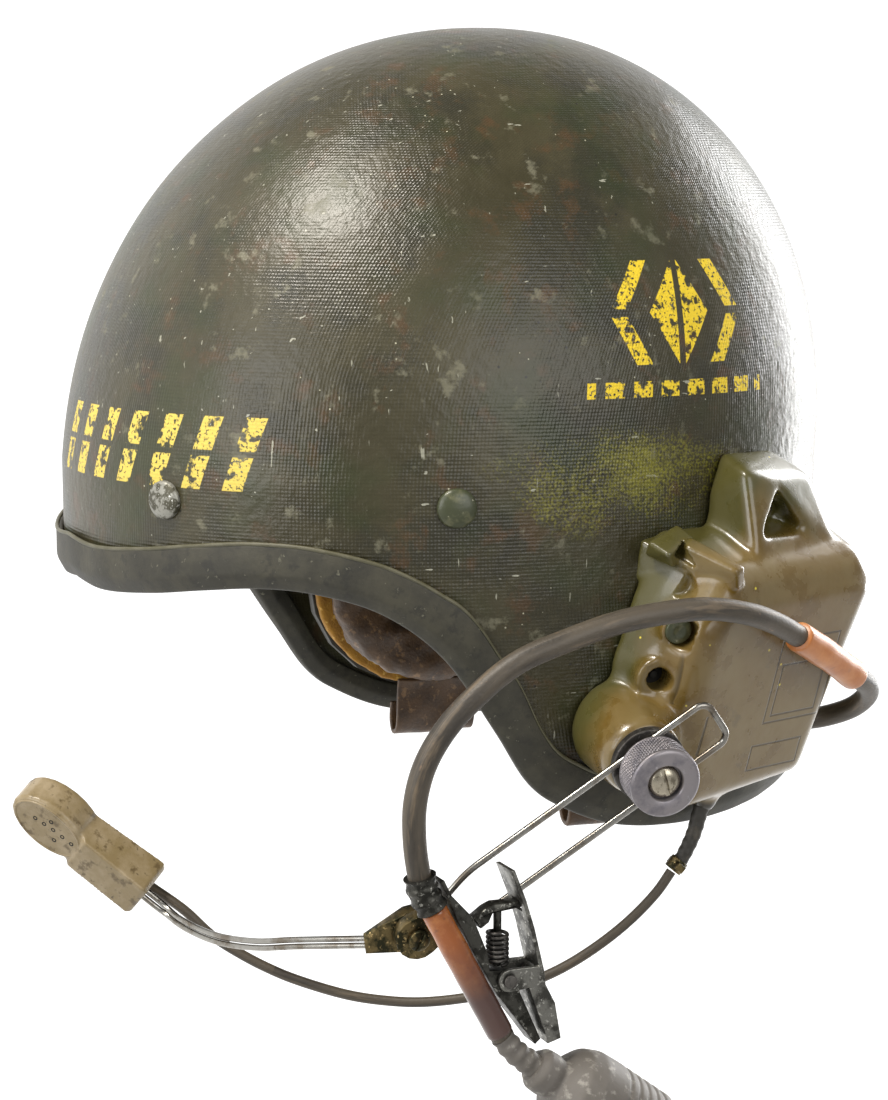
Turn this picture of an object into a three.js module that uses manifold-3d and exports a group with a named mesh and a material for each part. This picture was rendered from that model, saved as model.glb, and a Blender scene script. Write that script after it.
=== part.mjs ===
// Armoured-vehicle crew helmet: moulded shell with rubber edge trim, padded ear cups, a switch box on the
// wearer's left, a wire boom with its microphone, and the intercom cord with its sleeves, clip and plug.
// Millimetres. +Z is up, -Y is the wearer's front and +X the wearer's left. The origin is the inner top of
// the crown, where the helmet sits on a head.

import * as THREE from 'three';
import { mergeVertices } from 'three/addons/utils/BufferGeometryUtils.js';
import { ConvexGeometry } from 'three/addons/geometries/ConvexGeometry.js';
import Module from 'manifold-3d';

const wasm = await Module();
wasm.setup();

// Clearances
const GAP = 0.3;              // between touching pieces
const RUN_GAP = 0.35;         // between pieces that turn or slide on each other
const SEAT_GAP = 0.5;         // between the shell and what is shaped to its curve

// Shell
const SHELL_WALL = 4.5;
const SHELL_HALF_WIDTH = 122;
const SHELL_HALF_LENGTH = 138;
const DOME_HEIGHT = 153;      // from the widest level to the outer top
const DOME_POWER = 2.1;       // 2 is an ellipse from the side, more is fuller
const PLAN_POWER = 2.15;      // the same in plan
const CROWN_SHIFT = 14;       // the crown leans this far to the rear
const EAR_REACH = 120;        // level under the widest level where the tuck below is measured
const SIDE_TUCK = 0.085;      // share by which the sides pull in there
const END_TUCK = 0.03;
const RIM_DROP = 271;         // outer top to the lowest point of the rim
const BELOW_RIM = 60;         // how far the spaces that cut the part reach under the rim
const COLUMNS = 48;
const DOME_ROWS = 7;
const SKIRT_ROWS = 4;
const WIDEST_Z = SHELL_WALL - DOME_HEIGHT;

// Rim height round the head: turn is the share of the half turn from front to rear, drop the share of RIM_DROP.
const RIM = [
  { turn: 0.00, drop: 0.699 },
  { turn: 0.06, drop: 0.704 },
  { turn: 0.125, drop: 0.696 },
  { turn: 0.18, drop: 0.685 },
  { turn: 0.23, drop: 0.678 },
  { turn: 0.28, drop: 0.683 },
  { turn: 0.335, drop: 0.708 },
  { turn: 0.385, drop: 0.763 },
  { turn: 0.43, drop: 0.853 },
  { turn: 0.465, drop: 0.925 },
  { turn: 0.50, drop: 0.960 },
  { turn: 0.56, drop: 0.990 },
  { turn: 0.64, drop: 1.000 },
  { turn: 0.74, drop: 0.992 },
  { turn: 0.87, drop: 0.958 },
  { turn: 1.00, drop: 0.938 },
];

// Edge trim
const TRIM_THICK = 2.2;
const TRIM_WIDTH = 12.5;
const TRIM_INSIDE = 8;

// Rivets: turn as above, and how far over the rim they sit
const RIVET_HEAD_R = 6.6;
const RIVET_HEAD_H = 2.4;
const RIVET_SHANK_R = 2.4;
const RIVET_LIFT = 0.7;       // flat seat on the round shell
const RIVETS = [
  { name: 'rivet_front', turn: 0.147, above: 28.5 },
  { name: 'rivet_side', turn: 0.392, above: 50.9 },
];

// Ear cups
const EAR_Y = 27;
const EAR_Z = -207;
const CUP_HALF_LENGTH = 49;
const CUP_HALF_HEIGHT = 46;
const CUP_OPEN_X = 84;        // plane of the cup's open side
const CUP_DEPTH = 20;
const CUP_WALL = 3;
const CUP_STUD_R = 16;
const CUP_STUD_REACH = 40;    // before the shell cuts it
const FOAM_THICK = 5;
const FOAM_INSET = 1;
const PAD_THICK = 13;
const PAD_INSET = 4;
const OVAL_SIDES = 20;
const PAD_HOLE_LENGTH = 24;
const PAD_HOLE_HEIGHT = 20;
const TAB_WIDTH = 34;
const TAB_DROP = 22;
const TAB_THICK = 2;

// Switch box frame: its outer face leans back by BOX_YAW and down by BOX_PITCH
const BOX_AT = new THREE.Vector3(112, 40, -215);
const BOX_YAW = 20;
const BOX_PITCH = 17;
const BOX_WIDTH = 80;
const BOX_HEIGHT = 88;
const BOX_DEPTH = 27;         // from BOX_AT out to the main face
const BOX_ROOT = 36;          // how far its walls run inwards before the shell cuts them
const BOX_ROUND = 4;
const SHOULDER = 8;
const COVER_THICK = 1.4;
const COVER_INSET = 2;

// Outline of the box as shares of BOX_WIDTH and BOX_HEIGHT: face is the outer face, foot is at the shell.
const BOX_OUTLINE = [
  { faceAlong: -0.13, faceUp: 0.56, footAlong: -0.17, footUp: 0.57 },
  { faceAlong: 0.70, faceUp: 0.575, footAlong: 0.70, footUp: 0.59 },
  { faceAlong: 0.79, faceUp: 0.45, footAlong: 0.77, footUp: 0.45 },
  { faceAlong: 0.72, faceUp: 0.09, footAlong: 0.70, footUp: 0.09 },
  { faceAlong: 0.62, faceUp: -0.39, footAlong: 0.60, footUp: -0.39 },
  { faceAlong: -0.12, faceUp: -0.46, footAlong: -0.22, footUp: -0.47 },
  { faceAlong: -0.20, faceUp: -0.14, footAlong: -0.38, footUp: -0.22 },
  { faceAlong: -0.27, faceUp: 0.05, footAlong: -0.36, footUp: 0.09 },
  { faceAlong: -0.26, faceUp: 0.32, footAlong: -0.27, footUp: 0.34 },
];

// Mounting ear on top of the box, shares as above; out is the share of BOX_DEPTH, root is along at the shell
const EAR_BLOCK = [
  { along: 0.09, up: 0.56, out: 0.62, root: 0.24 },
  { along: 0.64, up: 0.56, out: 0.50, root: 0.68 },
  { along: 0.11, up: 0.84, out: 0.08, root: 0.26 },
  { along: 0.23, up: 0.81, out: 0.18, root: 0.35 },
  { along: 0.47, up: 0.83, out: -0.37, root: 0.52 },
  { along: 0.57, up: 0.78, out: 0.00, root: 0.62 },
  { along: 0.68, up: 0.64, out: -0.10, root: 0.72 },
];
const EAR_NOTCH = [
  { along: 0.30, up: 0.765 },
  { along: 0.155, up: 0.61 },
  { along: 0.45, up: 0.60 },
];
const EAR_SCREW_AT = { along: 0.33, up: 0.655 };
const EAR_SCREW_R = 3.1;
const EAR_FLOOR = 2;

// Finger hood, button and socket on the front wall of the box
const HOOD = [
  { along: -0.18, up: 0.475, out: -0.30 },
  { along: -0.03, up: 0.565, out: -0.32 },
  { along: -0.22, up: 0.47, out: 0.16 },
  { along: -0.07, up: 0.575, out: 0.12 },
  { along: -0.10, up: 0.40, out: 0.16 },
  { along: -0.10, up: 0.40, out: -0.30 },
  { along: 0.02, up: 0.50, out: 0.40 },
];
const BUTTON_R = 5;
const BUTTON_ALONG = -19.3;
const BUTTON_UP = 24.6;
const BUTTON_OUT = 15;
const SOCKET_R = 7.2;
const SOCKET_HOLE_R = 3.8;
const SOCKET_ALONG = -23.6;
const SOCKET_UP = 7.2;
const SOCKET_OUT = 14;

// Boom clamp: KNOB_AT is the seat on the boss's end, the axis points out and a little forwards and down
const KNOB_AT = new THREE.Vector3(148.9, 12.1, -236);
const KNOB_AXIS = new THREE.Vector3(0.976, -0.096, -0.192).normalize();
const BOSS_R = 12.8;
const BOSS_FOOT_R = 16;
const BOSS_LENGTH = 44;
const FLANGE_R = 12.4;
const FLANGE_THICK = 3.2;
const STUD_R = 3.6;
const HUB_R = 6.8;
const HUB_THICK = 2.6;
const KNOB_R = 11.7;
const KNOB_LENGTH = 12.6;
const KNOB_RECESS_R = 5.9;
const KNOB_RECESS_DEPTH = 3;
const SCREW_R = 4.9;
const SCREW_SLOT = 1.1;

// Wire boom, in the plane across the knob's axis
const WIRE_R = 1.0;
const LEG_SPACING = 16.4;
const LEG_SLOPE = 35.3;       // degrees down towards the front
const LOOP_REAR = 26.5;       // knob axis to the closed end
const LOOP_BEND = 68;         // knob axis to where the legs turn in
const SWIVEL_REACH = 93;      // knob axis to the swivel's centre
const LOOP_CORNER = 4;
const SWIVEL_R = 8.2;
const SWIVEL_THICK = 5.2;
const SWIVEL_SCREW_R = 2.2;
const SWIVEL_HEAD_R = 3.6;
const SWIVEL_HEAD_H = 2;

// Microphone and its arm
const ARM_WIRE_R = 0.95;
const ARM_WIRE_SPACING = 2.3;
const MIC_TAIL = new THREE.Vector3(44.5, -126.0, -291.0);
const MIC_AXIS = new THREE.Vector3(-0.34, -0.70, 0.63).normalize();
const MIC_FACE = new THREE.Vector3(0.62, -0.66, -0.40);
const MIC_LENGTH = 55;
const MIC_HEAD_WIDTH = 20;
const MIC_HEAD_THICK = 13.5;
const MIC_STEM_WIDTH = 15;
const MIC_STEM_THICK = 15.5;
const MIC_STEM_LENGTH = 27;
// Points of the arm between its block and the microphone
const ARM_POINTS = [
  [128.0, -76.8, -292.2], [107, -94.0, -296.4], [93, -103.2, -299.6], [76, -112, -301.0],
  [60, -118.8, -299.2],
];

// Cords: points chosen by hand along their routes
const CORD_R = 3.75;
const MIC_CORD_R = 1.75;
// Start of the main cord on the box, past its rear wall at the gland
const CORD_REAR_START = [
  { past: 2.1, up: -22.0, out: 8.5 },
  { past: 10.2, up: -22.85, out: 9.1 },
  { past: 17.9, up: -20.5, out: 13.9 },
];
const CORD_REAR_POINTS = [
  [103.4, 114.5, -234.5], [113.9, 114.7, -228.1], [123.7, 108.6, -221.9], [130.6, 100.0, -217.2],
];
const SLEEVE_UPPER_POINTS = [[130.9, 99.6, -217.0], [141.5, 82.4, -206.9], [150.0, 66.6, -198.2]];
const CORD_FRONT_POINTS = [
  [150.2, 66.2, -198.0], [156.2, 54.0, -191.9], [161.6, 40.6, -187.2], [164.6, 25.0, -184.4],
  [165.6, 10.0, -184.6], [165.6, -6.0, -186.6], [164.8, -23.0, -191.2], [163.4, -40.0, -197.6],
  [162.0, -53.0, -207.2], [160.4, -62.8, -217.6], [159.2, -69.2, -228.8], [158.2, -72.0, -240.6],
  [157.2, -71.8, -252.8], [156.3, -70.0, -263.6],
];
const COLLAR_POINTS = [[156.3, -69.8, -264.3], [156, -68.4, -269.5], [156, -65.4, -275.0]];
const SLEEVE_LOWER_POINTS = [[156, -65.2, -275.3], [156, -53.6, -297], [156, -42.0, -318.6]];
const NECK_POINTS = [[156, -41.5, -319.5], [156.4, -37.6, -324.6], [157, -31.4, -329.8]];
const MIC_CORD_POINTS = [
  [46.2, -121.9, -289.9], [47.6, -114.0, -298.6], [51.6, -105.2, -307.6], [56, -96.4, -313.8],
  [60, -88.0, -318.6], [64, -79.6, -322.4], [72, -63.1, -327.6], [78, -50.7, -329.4],
  [83, -40.5, -329.6], [89, -27.7, -328.0], [95, -14.2, -324.9], [100, -0.7, -319.8],
  [104, 11.3, -312.9], [108, 24.9, -302.4], [110.6, 35.4, -291.6], [111.4, 40.6, -284.4],
];
const FERRULE_POINTS = [[111.4, 40.7, -284.2], [112, 43.9, -280.3]];
const BOOT_POINTS = [[112.1, 44.3, -279.9], [112.6, 48.2, -272], [113.2, 50.6, -263.4]];
const SLEEVE_UPPER_R = 5.1;
const COLLAR_R = 5.4;
const SLEEVE_LOWER_R = 4.3;
const NECK_R = 3.9;
const BOOT_R = 2.6;
const FERRULE_R = 3.2;
const GLAND_R = 6;
const GLAND_LENGTH = 9;
const GLAND_SEAT = 0.65;     // share of BOX_WIDTH from BOX_AT back to the rear wall at the gland
const CORD_STEP = 4.6;        // length of a straight run of cord, in cord radii

// Plug
const PLUG_AXIS = new THREE.Vector3(0.02, 0.80, -0.60).normalize();
const PLUG_R = 16;
const PLUG_NECK_R = 7.2;
const PLUG_LENGTH = 62;

// Clothing clip. Outlines are seen from the wearer's left: y and z are shares of CLIP_REACH from the pin.
const CLIP_PIN = new THREE.Vector3(153, -40.3, -300.6);
const CLIP_REACH = 23;        // pin to the tips of the jaws
const CLIP_BASE = [
  { y: -0.996, z: 1.465 }, { y: -0.865, z: 1.217 }, { y: -0.752, z: 0.939 }, { y: -0.478, z: 0.391 },
  { y: -0.283, z: 0.035 }, { y: -0.135, z: -0.217 }, { y: 0.422, z: -0.974 }, { y: 0.500, z: -0.904 },
  { y: 0.191, z: -0.213 }, { y: 0.126, z: 0.122 }, { y: -0.270, z: 0.148 }, { y: -0.290, z: 0.387 },
  { y: -0.513, z: 0.930 }, { y: -0.835, z: 1.278 }, { y: -0.939, z: 1.496 },
];
const CLIP_LEVER = [
  { y: 0.013, z: 1.557 }, { y: 0.187, z: 1.113 }, { y: 0.309, z: 0.722 }, { y: 0.448, z: 0.135 },
  { y: 0.296, z: -0.139 }, { y: 0.561, z: -0.865 }, { y: 0.578, z: -0.961 }, { y: 0.778, z: -0.904 },
  { y: 0.687, z: -0.387 }, { y: 0.543, z: -0.109 }, { y: 0.517, z: 0.109 }, { y: 0.370, z: 0.722 },
  { y: 0.248, z: 1.113 }, { y: 0.074, z: 1.557 },
];
const CLIP_YOKE = [
  { y: -0.474, z: 0.887 }, { y: -0.365, z: 0.735 }, { y: -0.243, z: 0.817 }, { y: -0.187, z: 0.939 },
  { y: 0.326, z: 0.991 }, { y: 0.330, z: 1.065 }, { y: -0.152, z: 1.070 }, { y: -0.309, z: 1.004 },
];
const CLIP_SLOT = [
  { y: 0.0, z: 0.90 }, { y: 0.7, z: 0.96 }, { y: 0.7, z: 1.10 }, { y: 0.0, z: 1.09 },
];
const CLIP_WIDTH = 12.7;
const CLIP_SHEET = 1.6;
const CLIP_PIN_R = 1.4;
const CLIP_CHEEK_R = 3.7;
const CLIP_SLOT_WIDTH = 6;
const CLIP_ROD_Y = -1.7;      // rod and spring from the pin
const CLIP_ROD_FOOT = 3.7;
const CLIP_ROD_TOP = 22.6;
const CLIP_SPRING_R = 3.2;
const CLIP_WIRE_R = 0.7;
const CLIP_TURNS = 6;

const STEEL = { color: 0x8e8b8c, roughness: 0.35, metalness: 0.9 };
const BRIGHT_WIRE = { color: 0xc9c8c4, roughness: 0.25, metalness: 1 };
const OLIVE = { color: 0x4b4a3a, roughness: 0.45, metalness: 0 };
const BOX_PLASTIC = { color: 0x7d6a3c, roughness: 0.35, metalness: 0 };
const RUBBER = { color: 0x4b473f, roughness: 0.75, metalness: 0 };
const CORD_RUBBER = { color: 0x6b6256, roughness: 0.7, metalness: 0 };
const DARK_CUP = { color: 0x26251f, roughness: 0.6, metalness: 0 };
const FOAM = { color: 0xb98a3a, roughness: 0.95, metalness: 0 };
const LEATHER = { color: 0x6b4a2c, roughness: 0.7, metalness: 0 };
const BRASS_GREEN = { color: 0x5a4f36, roughness: 0.5, metalness: 0.6 };
const MIC_BEIGE = { color: 0xa39474, roughness: 0.4, metalness: 0.2 };
const ORANGE_SLEEVE = { color: 0xc88a5c, roughness: 0.5, metalness: 0 };
const COPPER_SLEEVE = { color: 0x9a6a4c, roughness: 0.35, metalness: 0.3 };
const DARK_STEEL = { color: 0x3f3e3c, roughness: 0.45, metalness: 0.8 };
const GREY_PLUG = { color: 0x8a8580, roughness: 0.6, metalness: 0 };

const helmet = new THREE.Group();

function vec(x, y, z) {
  return new THREE.Vector3(x, y, z);
}

function vecs(rows) {
  return rows.map((row) => vec(...row));
}

function addMesh(name, geometry, look) {
  const mesh = new THREE.Mesh(geometry, new THREE.MeshStandardMaterial(look));
  mesh.name = name;
  helmet.add(mesh);
  return mesh;
}

// A closed body through rings of points. A ring of one point is a pole; looped joins the last ring to the first.
function loft(rings, looped = false) {
  const places = [];
  const index = [];
  const starts = rings.map((ring) => {
    const start = places.length;
    places.push(...ring);
    return start;
  });
  const spans = looped ? rings.length : rings.length - 1;
  for (let i = 0; i < spans; i += 1) {
    const k = (i + 1) % rings.length;
    joinRings(index, starts[i], rings[i].length, starts[k], rings[k].length);
  }
  if (!looped) {
    closeRing(index, places, starts[0], rings[0], true);
    closeRing(index, places, starts[rings.length - 1], rings[rings.length - 1], false);
  }
  const geometry = new THREE.BufferGeometry().setFromPoints(places);
  geometry.setIndex(volumeOf(places, index) < 0 ? index.reverse() : index);
  return geometry;
}

function joinRings(index, a, countA, b, countB) {
  const count = Math.max(countA, countB);
  for (let j = 0; j < count; j += 1) {
    const next = (j + 1) % count;
    if (countA > 1) {
      index.push(a + j, a + next, countB > 1 ? b + next : b);
    }
    if (countB > 1) {
      index.push(countA > 1 ? a + j : a, b + next, b + j);
    }
  }
}

function closeRing(index, places, start, ring, first) {
  if (ring.length === 1) {
    return;
  }
  const centre = ring.reduce((sum, p) => sum.add(p), vec(0, 0, 0)).divideScalar(ring.length);
  const at = places.push(centre) - 1;
  ring.forEach((_, j) => {
    const next = (j + 1) % ring.length;
    index.push(at, start + (first ? next : j), start + (first ? j : next));
  });
}

function volumeOf(places, index) {
  let sum = 0;
  for (let i = 0; i < index.length; i += 3) {
    const [a, b, c] = [0, 1, 2].map((k) => places[index[i + k]]);
    sum += a.dot(b.clone().cross(c));
  }
  return sum / 6;
}

function toSolid(geometry) {
  const bare = geometry.clone();
  bare.deleteAttribute('normal');
  bare.deleteAttribute('uv');
  const merged = mergeVertices(bare, 1e-4);
  return new wasm.Manifold(new wasm.Mesh({
    numProp: 3,
    vertProperties: new Float32Array(merged.getAttribute('position').array),
    triVerts: new Uint32Array(merged.getIndex().array),
  }));
}

function fromSolid(solid) {
  const mesh = solid.getMesh();
  const geometry = new THREE.BufferGeometry();
  geometry.setAttribute('position', new THREE.BufferAttribute(mesh.vertProperties, 3));
  geometry.setIndex(new THREE.BufferAttribute(mesh.triVerts, 1));
  return geometry;
}

function hull(points) {
  return toSolid(new ConvexGeometry(points));
}

// Two unit vectors across an axis; up is the one nearest to +Z, or to +Y for an upright axis.
function frameOf(axis) {
  const near = Math.abs(axis.z) > 0.99 ? vec(0, 1, 0) : vec(0, 0, 1);
  const side = near.cross(axis).normalize();
  const up = axis.clone().cross(side);
  return { side, up, axis };
}

function circle(centre, radius, frame, sides) {
  return Array.from({ length: sides }, (_, i) => {
    const turn = (2 * Math.PI * i) / sides;
    return centre.clone()
      .addScaledVector(frame.side, radius * Math.cos(turn))
      .addScaledVector(frame.up, radius * Math.sin(turn));
  });
}

// A turned body: profile rows are [distance along the axis, radius], with no two rows alike.
function turned(start, axis, profile, sides = 24) {
  const frame = frameOf(axis);
  return loft(profile.map(([along, radius]) => {
    const centre = start.clone().addScaledVector(axis, along);
    return radius === 0 ? [centre] : circle(centre, radius, frame, sides);
  }));
}

// A tube turned round an axis: its profile closes on itself.
function turnedRing(start, axis, profile, sides = 24) {
  const frame = frameOf(axis);
  const rings = profile.map(([along, radius]) => circle(start.clone().addScaledVector(axis, along), radius, frame, sides));
  return loft(rings, true);
}

// A cord's tube: a round section carried along a smooth curve through its points.
function cordTube(points, radius, sides, steps) {
  const section = new THREE.Shape();
  for (let i = 0; i < sides; i += 1) {
    const turn = (2 * Math.PI * i) / sides;
    const method = i === 0 ? 'moveTo' : 'lineTo';
    section[method](radius * Math.cos(turn), radius * Math.sin(turn));
  }
  section.closePath();
  const curve = new THREE.CatmullRomCurve3(vecs(points), false, 'centripetal');
  const count = steps ?? Math.max(2, Math.round(curve.getLength() / (CORD_STEP * radius)));
  return new THREE.ExtrudeGeometry(section, { steps: count, extrudePath: curve, bevelEnabled: false });
}

// A bent wire: corners are rounded in a few steps, straight runs have none between them.
function bentWire(points, radius, cornerR, sides) {
  const path = [points[0]];
  for (let i = 1; i < points.length - 1; i += 1) {
    const back = points[i - 1].clone().sub(points[i]);
    const ahead = points[i + 1].clone().sub(points[i]);
    const trim = Math.min(cornerR, back.length() * 0.45, ahead.length() * 0.45);
    const from = points[i].clone().addScaledVector(back.normalize(), trim);
    const to = points[i].clone().addScaledVector(ahead.normalize(), trim);
    const bend = new THREE.QuadraticBezierCurve3(from, points[i], to);
    path.push(...bend.getPoints(2));
  }
  path.push(points[points.length - 1]);
  return wireAlong(path, radius, sides);
}

// A round wire through every point of a path, without twist.
function wireAlong(path, radius, sides) {
  let across = null;
  const rings = path.map((p, i) => {
    const before = path[Math.max(i - 1, 0)];
    const after = path[Math.min(i + 1, path.length - 1)];
    const along = after.clone().sub(before).normalize();
    across = across ?? frameOf(along).side;
    across.addScaledVector(along, -across.dot(along)).normalize();
    const frame = { side: across.clone(), up: along.clone().cross(across), axis: along };
    return circle(p, radius, frame, sides);
  });
  return loft(rings);
}

// Shell surface, out millimetres proud of the outer face, at a turn from the front and a level.
function shellPoint(turn, z, out) {
  const rise = Math.min(Math.max((z - WIDEST_Z) / (DOME_HEIGHT + out), 0), 1);
  const tuck = Math.max((WIDEST_Z - z) / EAR_REACH, 0) ** 2;
  const full = (1 - rise ** DOME_POWER) ** (1 / DOME_POWER);
  const halfWidth = (SHELL_HALF_WIDTH + out) * full * (1 - SIDE_TUCK * tuck);
  const halfLength = (SHELL_HALF_LENGTH + out) * full * (1 - END_TUCK * tuck);
  const [s, c] = [Math.sin(turn), Math.cos(turn)];
  const reach = (Math.abs(s / halfWidth) ** PLAN_POWER + Math.abs(c / halfLength) ** PLAN_POWER) ** (-1 / PLAN_POWER);
  return vec(reach * s, CROWN_SHIFT * rise - reach * c, z);
}

function rimCurve() {
  const points = RIM.map((row) => new THREE.Vector2(row.turn, SHELL_WALL - RIM_DROP * row.drop));
  return new THREE.SplineCurve(points);
}

const RIM_CURVE = rimCurve();

function rimZ(turn) {
  const share = Math.abs(Math.atan2(Math.sin(turn), Math.cos(turn))) / Math.PI;
  let [low, high] = [0, 1];
  for (let i = 0; i < 24; i += 1) {
    const middle = (low + high) / 2;
    if (RIM_CURVE.getPoint(middle).x < share) {
      low = middle;
    } else {
      high = middle;
    }
  }
  return RIM_CURVE.getPoint(low).y;
}

// How much longer a width measured across the rim is when it is measured straight up.
function rimSteepness(turn) {
  const step = 0.02;
  const before = shellPoint(turn - step, rimZ(turn - step), 0);
  const after = shellPoint(turn + step, rimZ(turn + step), 0);
  const run = Math.hypot(after.x - before.x, after.y - before.y);
  return Math.hypot(1, (after.z - before.z) / run);
}

function turns(columns = COLUMNS) {
  return Array.from({ length: columns }, (_, i) => (2 * Math.PI * i) / columns);
}

// Rings of the shell surface from the crown down; lowest gives the level of the last ring at a turn.
function shellRings(out, lowest) {
  const rings = [[vec(0, CROWN_SHIFT, WIDEST_Z + DOME_HEIGHT + out)]];
  for (let i = 1; i <= DOME_ROWS; i += 1) {
    const lift = Math.cos((Math.PI / 2) * (i / DOME_ROWS)) ** (2 / DOME_POWER);
    const z = WIDEST_Z + (DOME_HEIGHT + out) * lift;
    rings.push(turns().map((turn) => shellPoint(turn, z, out)));
  }
  for (let i = 1; i <= SKIRT_ROWS; i += 1) {
    rings.push(turns().map((turn) => {
      const z = WIDEST_Z + (lowest(turn) - WIDEST_Z) * (i / SKIRT_ROWS);
      return shellPoint(turn, z, out);
    }));
  }
  return rings;
}

// The whole space inside the shell surface, for cutting and trimming what lies against it.
function shellVolume(out) {
  const floor = SHELL_WALL - RIM_DROP - BELOW_RIM;
  return toSolid(loft(shellRings(out, () => floor)));
}

function shellNormal(turn, z) {
  const p = shellPoint(turn, z, 0);
  const along = shellPoint(turn + 0.01, z, 0).sub(p);
  const down = shellPoint(turn, z - 1, 0).sub(p);
  return down.cross(along).normalize();
}

// Seat of a rivet on the shell, its axis, and the thickness of the wall along that axis.
function rivetPlace({ turn, above }) {
  const z = rimZ(turn) + above;
  const [at, axis] = [shellPoint(turn, z, 0), shellNormal(turn, z)];
  const wall = at.clone().sub(shellPoint(turn, z, -SHELL_WALL)).dot(axis);
  return { at, axis, wall: Math.max(wall, SHELL_WALL) };
}

function rivetTurns() {
  return RIVETS.flatMap((row) => [
    { name: `${row.name}_left`, turn: row.turn * Math.PI, above: row.above },
    { name: `${row.name}_right`, turn: -row.turn * Math.PI, above: row.above },
  ]);
}

function buildShell() {
  const outer = shellRings(0, rimZ);
  const inner = shellRings(-SHELL_WALL, rimZ);
  let shell = toSolid(loft([...outer, ...inner.reverse()]));
  rivetTurns().forEach((row) => {
    const { at, axis } = rivetPlace(row);
    const hole = [[-3 * SHELL_WALL, RIVET_SHANK_R + GAP], [2 * SHELL_WALL, RIVET_SHANK_R + GAP]];
    shell = shell.subtract(toSolid(turned(at, axis, hole, 12)));
  });
  addMesh('shell', fromSolid(shell), OLIVE);
}

// Rubber channel pushed over the rim: outside leg, rounded foot and a shorter inside leg.
function buildTrim() {
  const outside = SEAT_GAP + TRIM_THICK;
  const inside = -SHELL_WALL - SEAT_GAP - TRIM_THICK;
  const rings = turns().map((turn) => {
    const rim = rimZ(turn);
    const steep = rimSteepness(turn);
    const foot = rim - (SEAT_GAP + TRIM_THICK) * steep;
    const section = [
      [rim + TRIM_WIDTH * steep, SEAT_GAP],
      [rim + TRIM_WIDTH * steep, outside],
      [rim + TRIM_THICK, outside],
      [foot, SEAT_GAP],
      [foot, -SHELL_WALL - SEAT_GAP],
      [rim + TRIM_THICK, inside],
      [rim + TRIM_INSIDE * steep, inside],
      [rim + TRIM_INSIDE * steep, -SHELL_WALL - SEAT_GAP],
      [rim - SEAT_GAP * steep, -SHELL_WALL - SEAT_GAP],
      [rim - SEAT_GAP * steep, SEAT_GAP],
    ];
    return section.map(([z, out]) => shellPoint(turn, z, out));
  });
  addMesh('edge_trim', loft(rings, true), RUBBER);
}

function buildRivets() {
  rivetTurns().forEach((row) => {
    const { at, axis, wall } = rivetPlace(row);
    const back = -wall - RIVET_LIFT;
    const profile = [
      [back - 1.2, 0],
      [back - 1.2, RIVET_HEAD_R * 0.75],
      [back, RIVET_HEAD_R * 0.75],
      [back, RIVET_SHANK_R],
      [RIVET_LIFT, RIVET_SHANK_R],
      [RIVET_LIFT, RIVET_HEAD_R],
      [RIVET_LIFT + RIVET_HEAD_H * 0.7, RIVET_HEAD_R * 0.7],
      [RIVET_LIFT + RIVET_HEAD_H, 0],
    ];
    addMesh(row.name, turned(at, axis, profile, 10), STEEL);
  });
}

// An oval ring of points in a plane across X.
function oval(x, halfLength, halfHeight) {
  return Array.from({ length: OVAL_SIDES }, (_, i) => {
    const turn = (2 * Math.PI * i) / OVAL_SIDES;
    return vec(x, EAR_Y + halfLength * Math.cos(turn), EAR_Z + halfHeight * Math.sin(turn));
  });
}

function ovalRing(x0, x1, outerInset, holeLength, holeHeight, round) {
  const [length, height] = [CUP_HALF_LENGTH - outerInset, CUP_HALF_HEIGHT - outerInset];
  return loft([
    oval(x0, length - round, height - round),
    oval(x0 + (x1 - x0) * 0.3, length, height),
    oval(x0 + (x1 - x0) * 0.7, length, height),
    oval(x1, length - round, height - round),
    oval(x1, holeLength, holeHeight),
    oval(x0, holeLength, holeHeight),
  ], true);
}

function mirrored(geometry, sign) {
  return sign > 0 ? geometry : flip(geometry);
}

function flip(geometry) {
  const copy = toSolid(geometry);
  return fromSolid(copy.mirror([1, 0, 0]));
}

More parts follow.
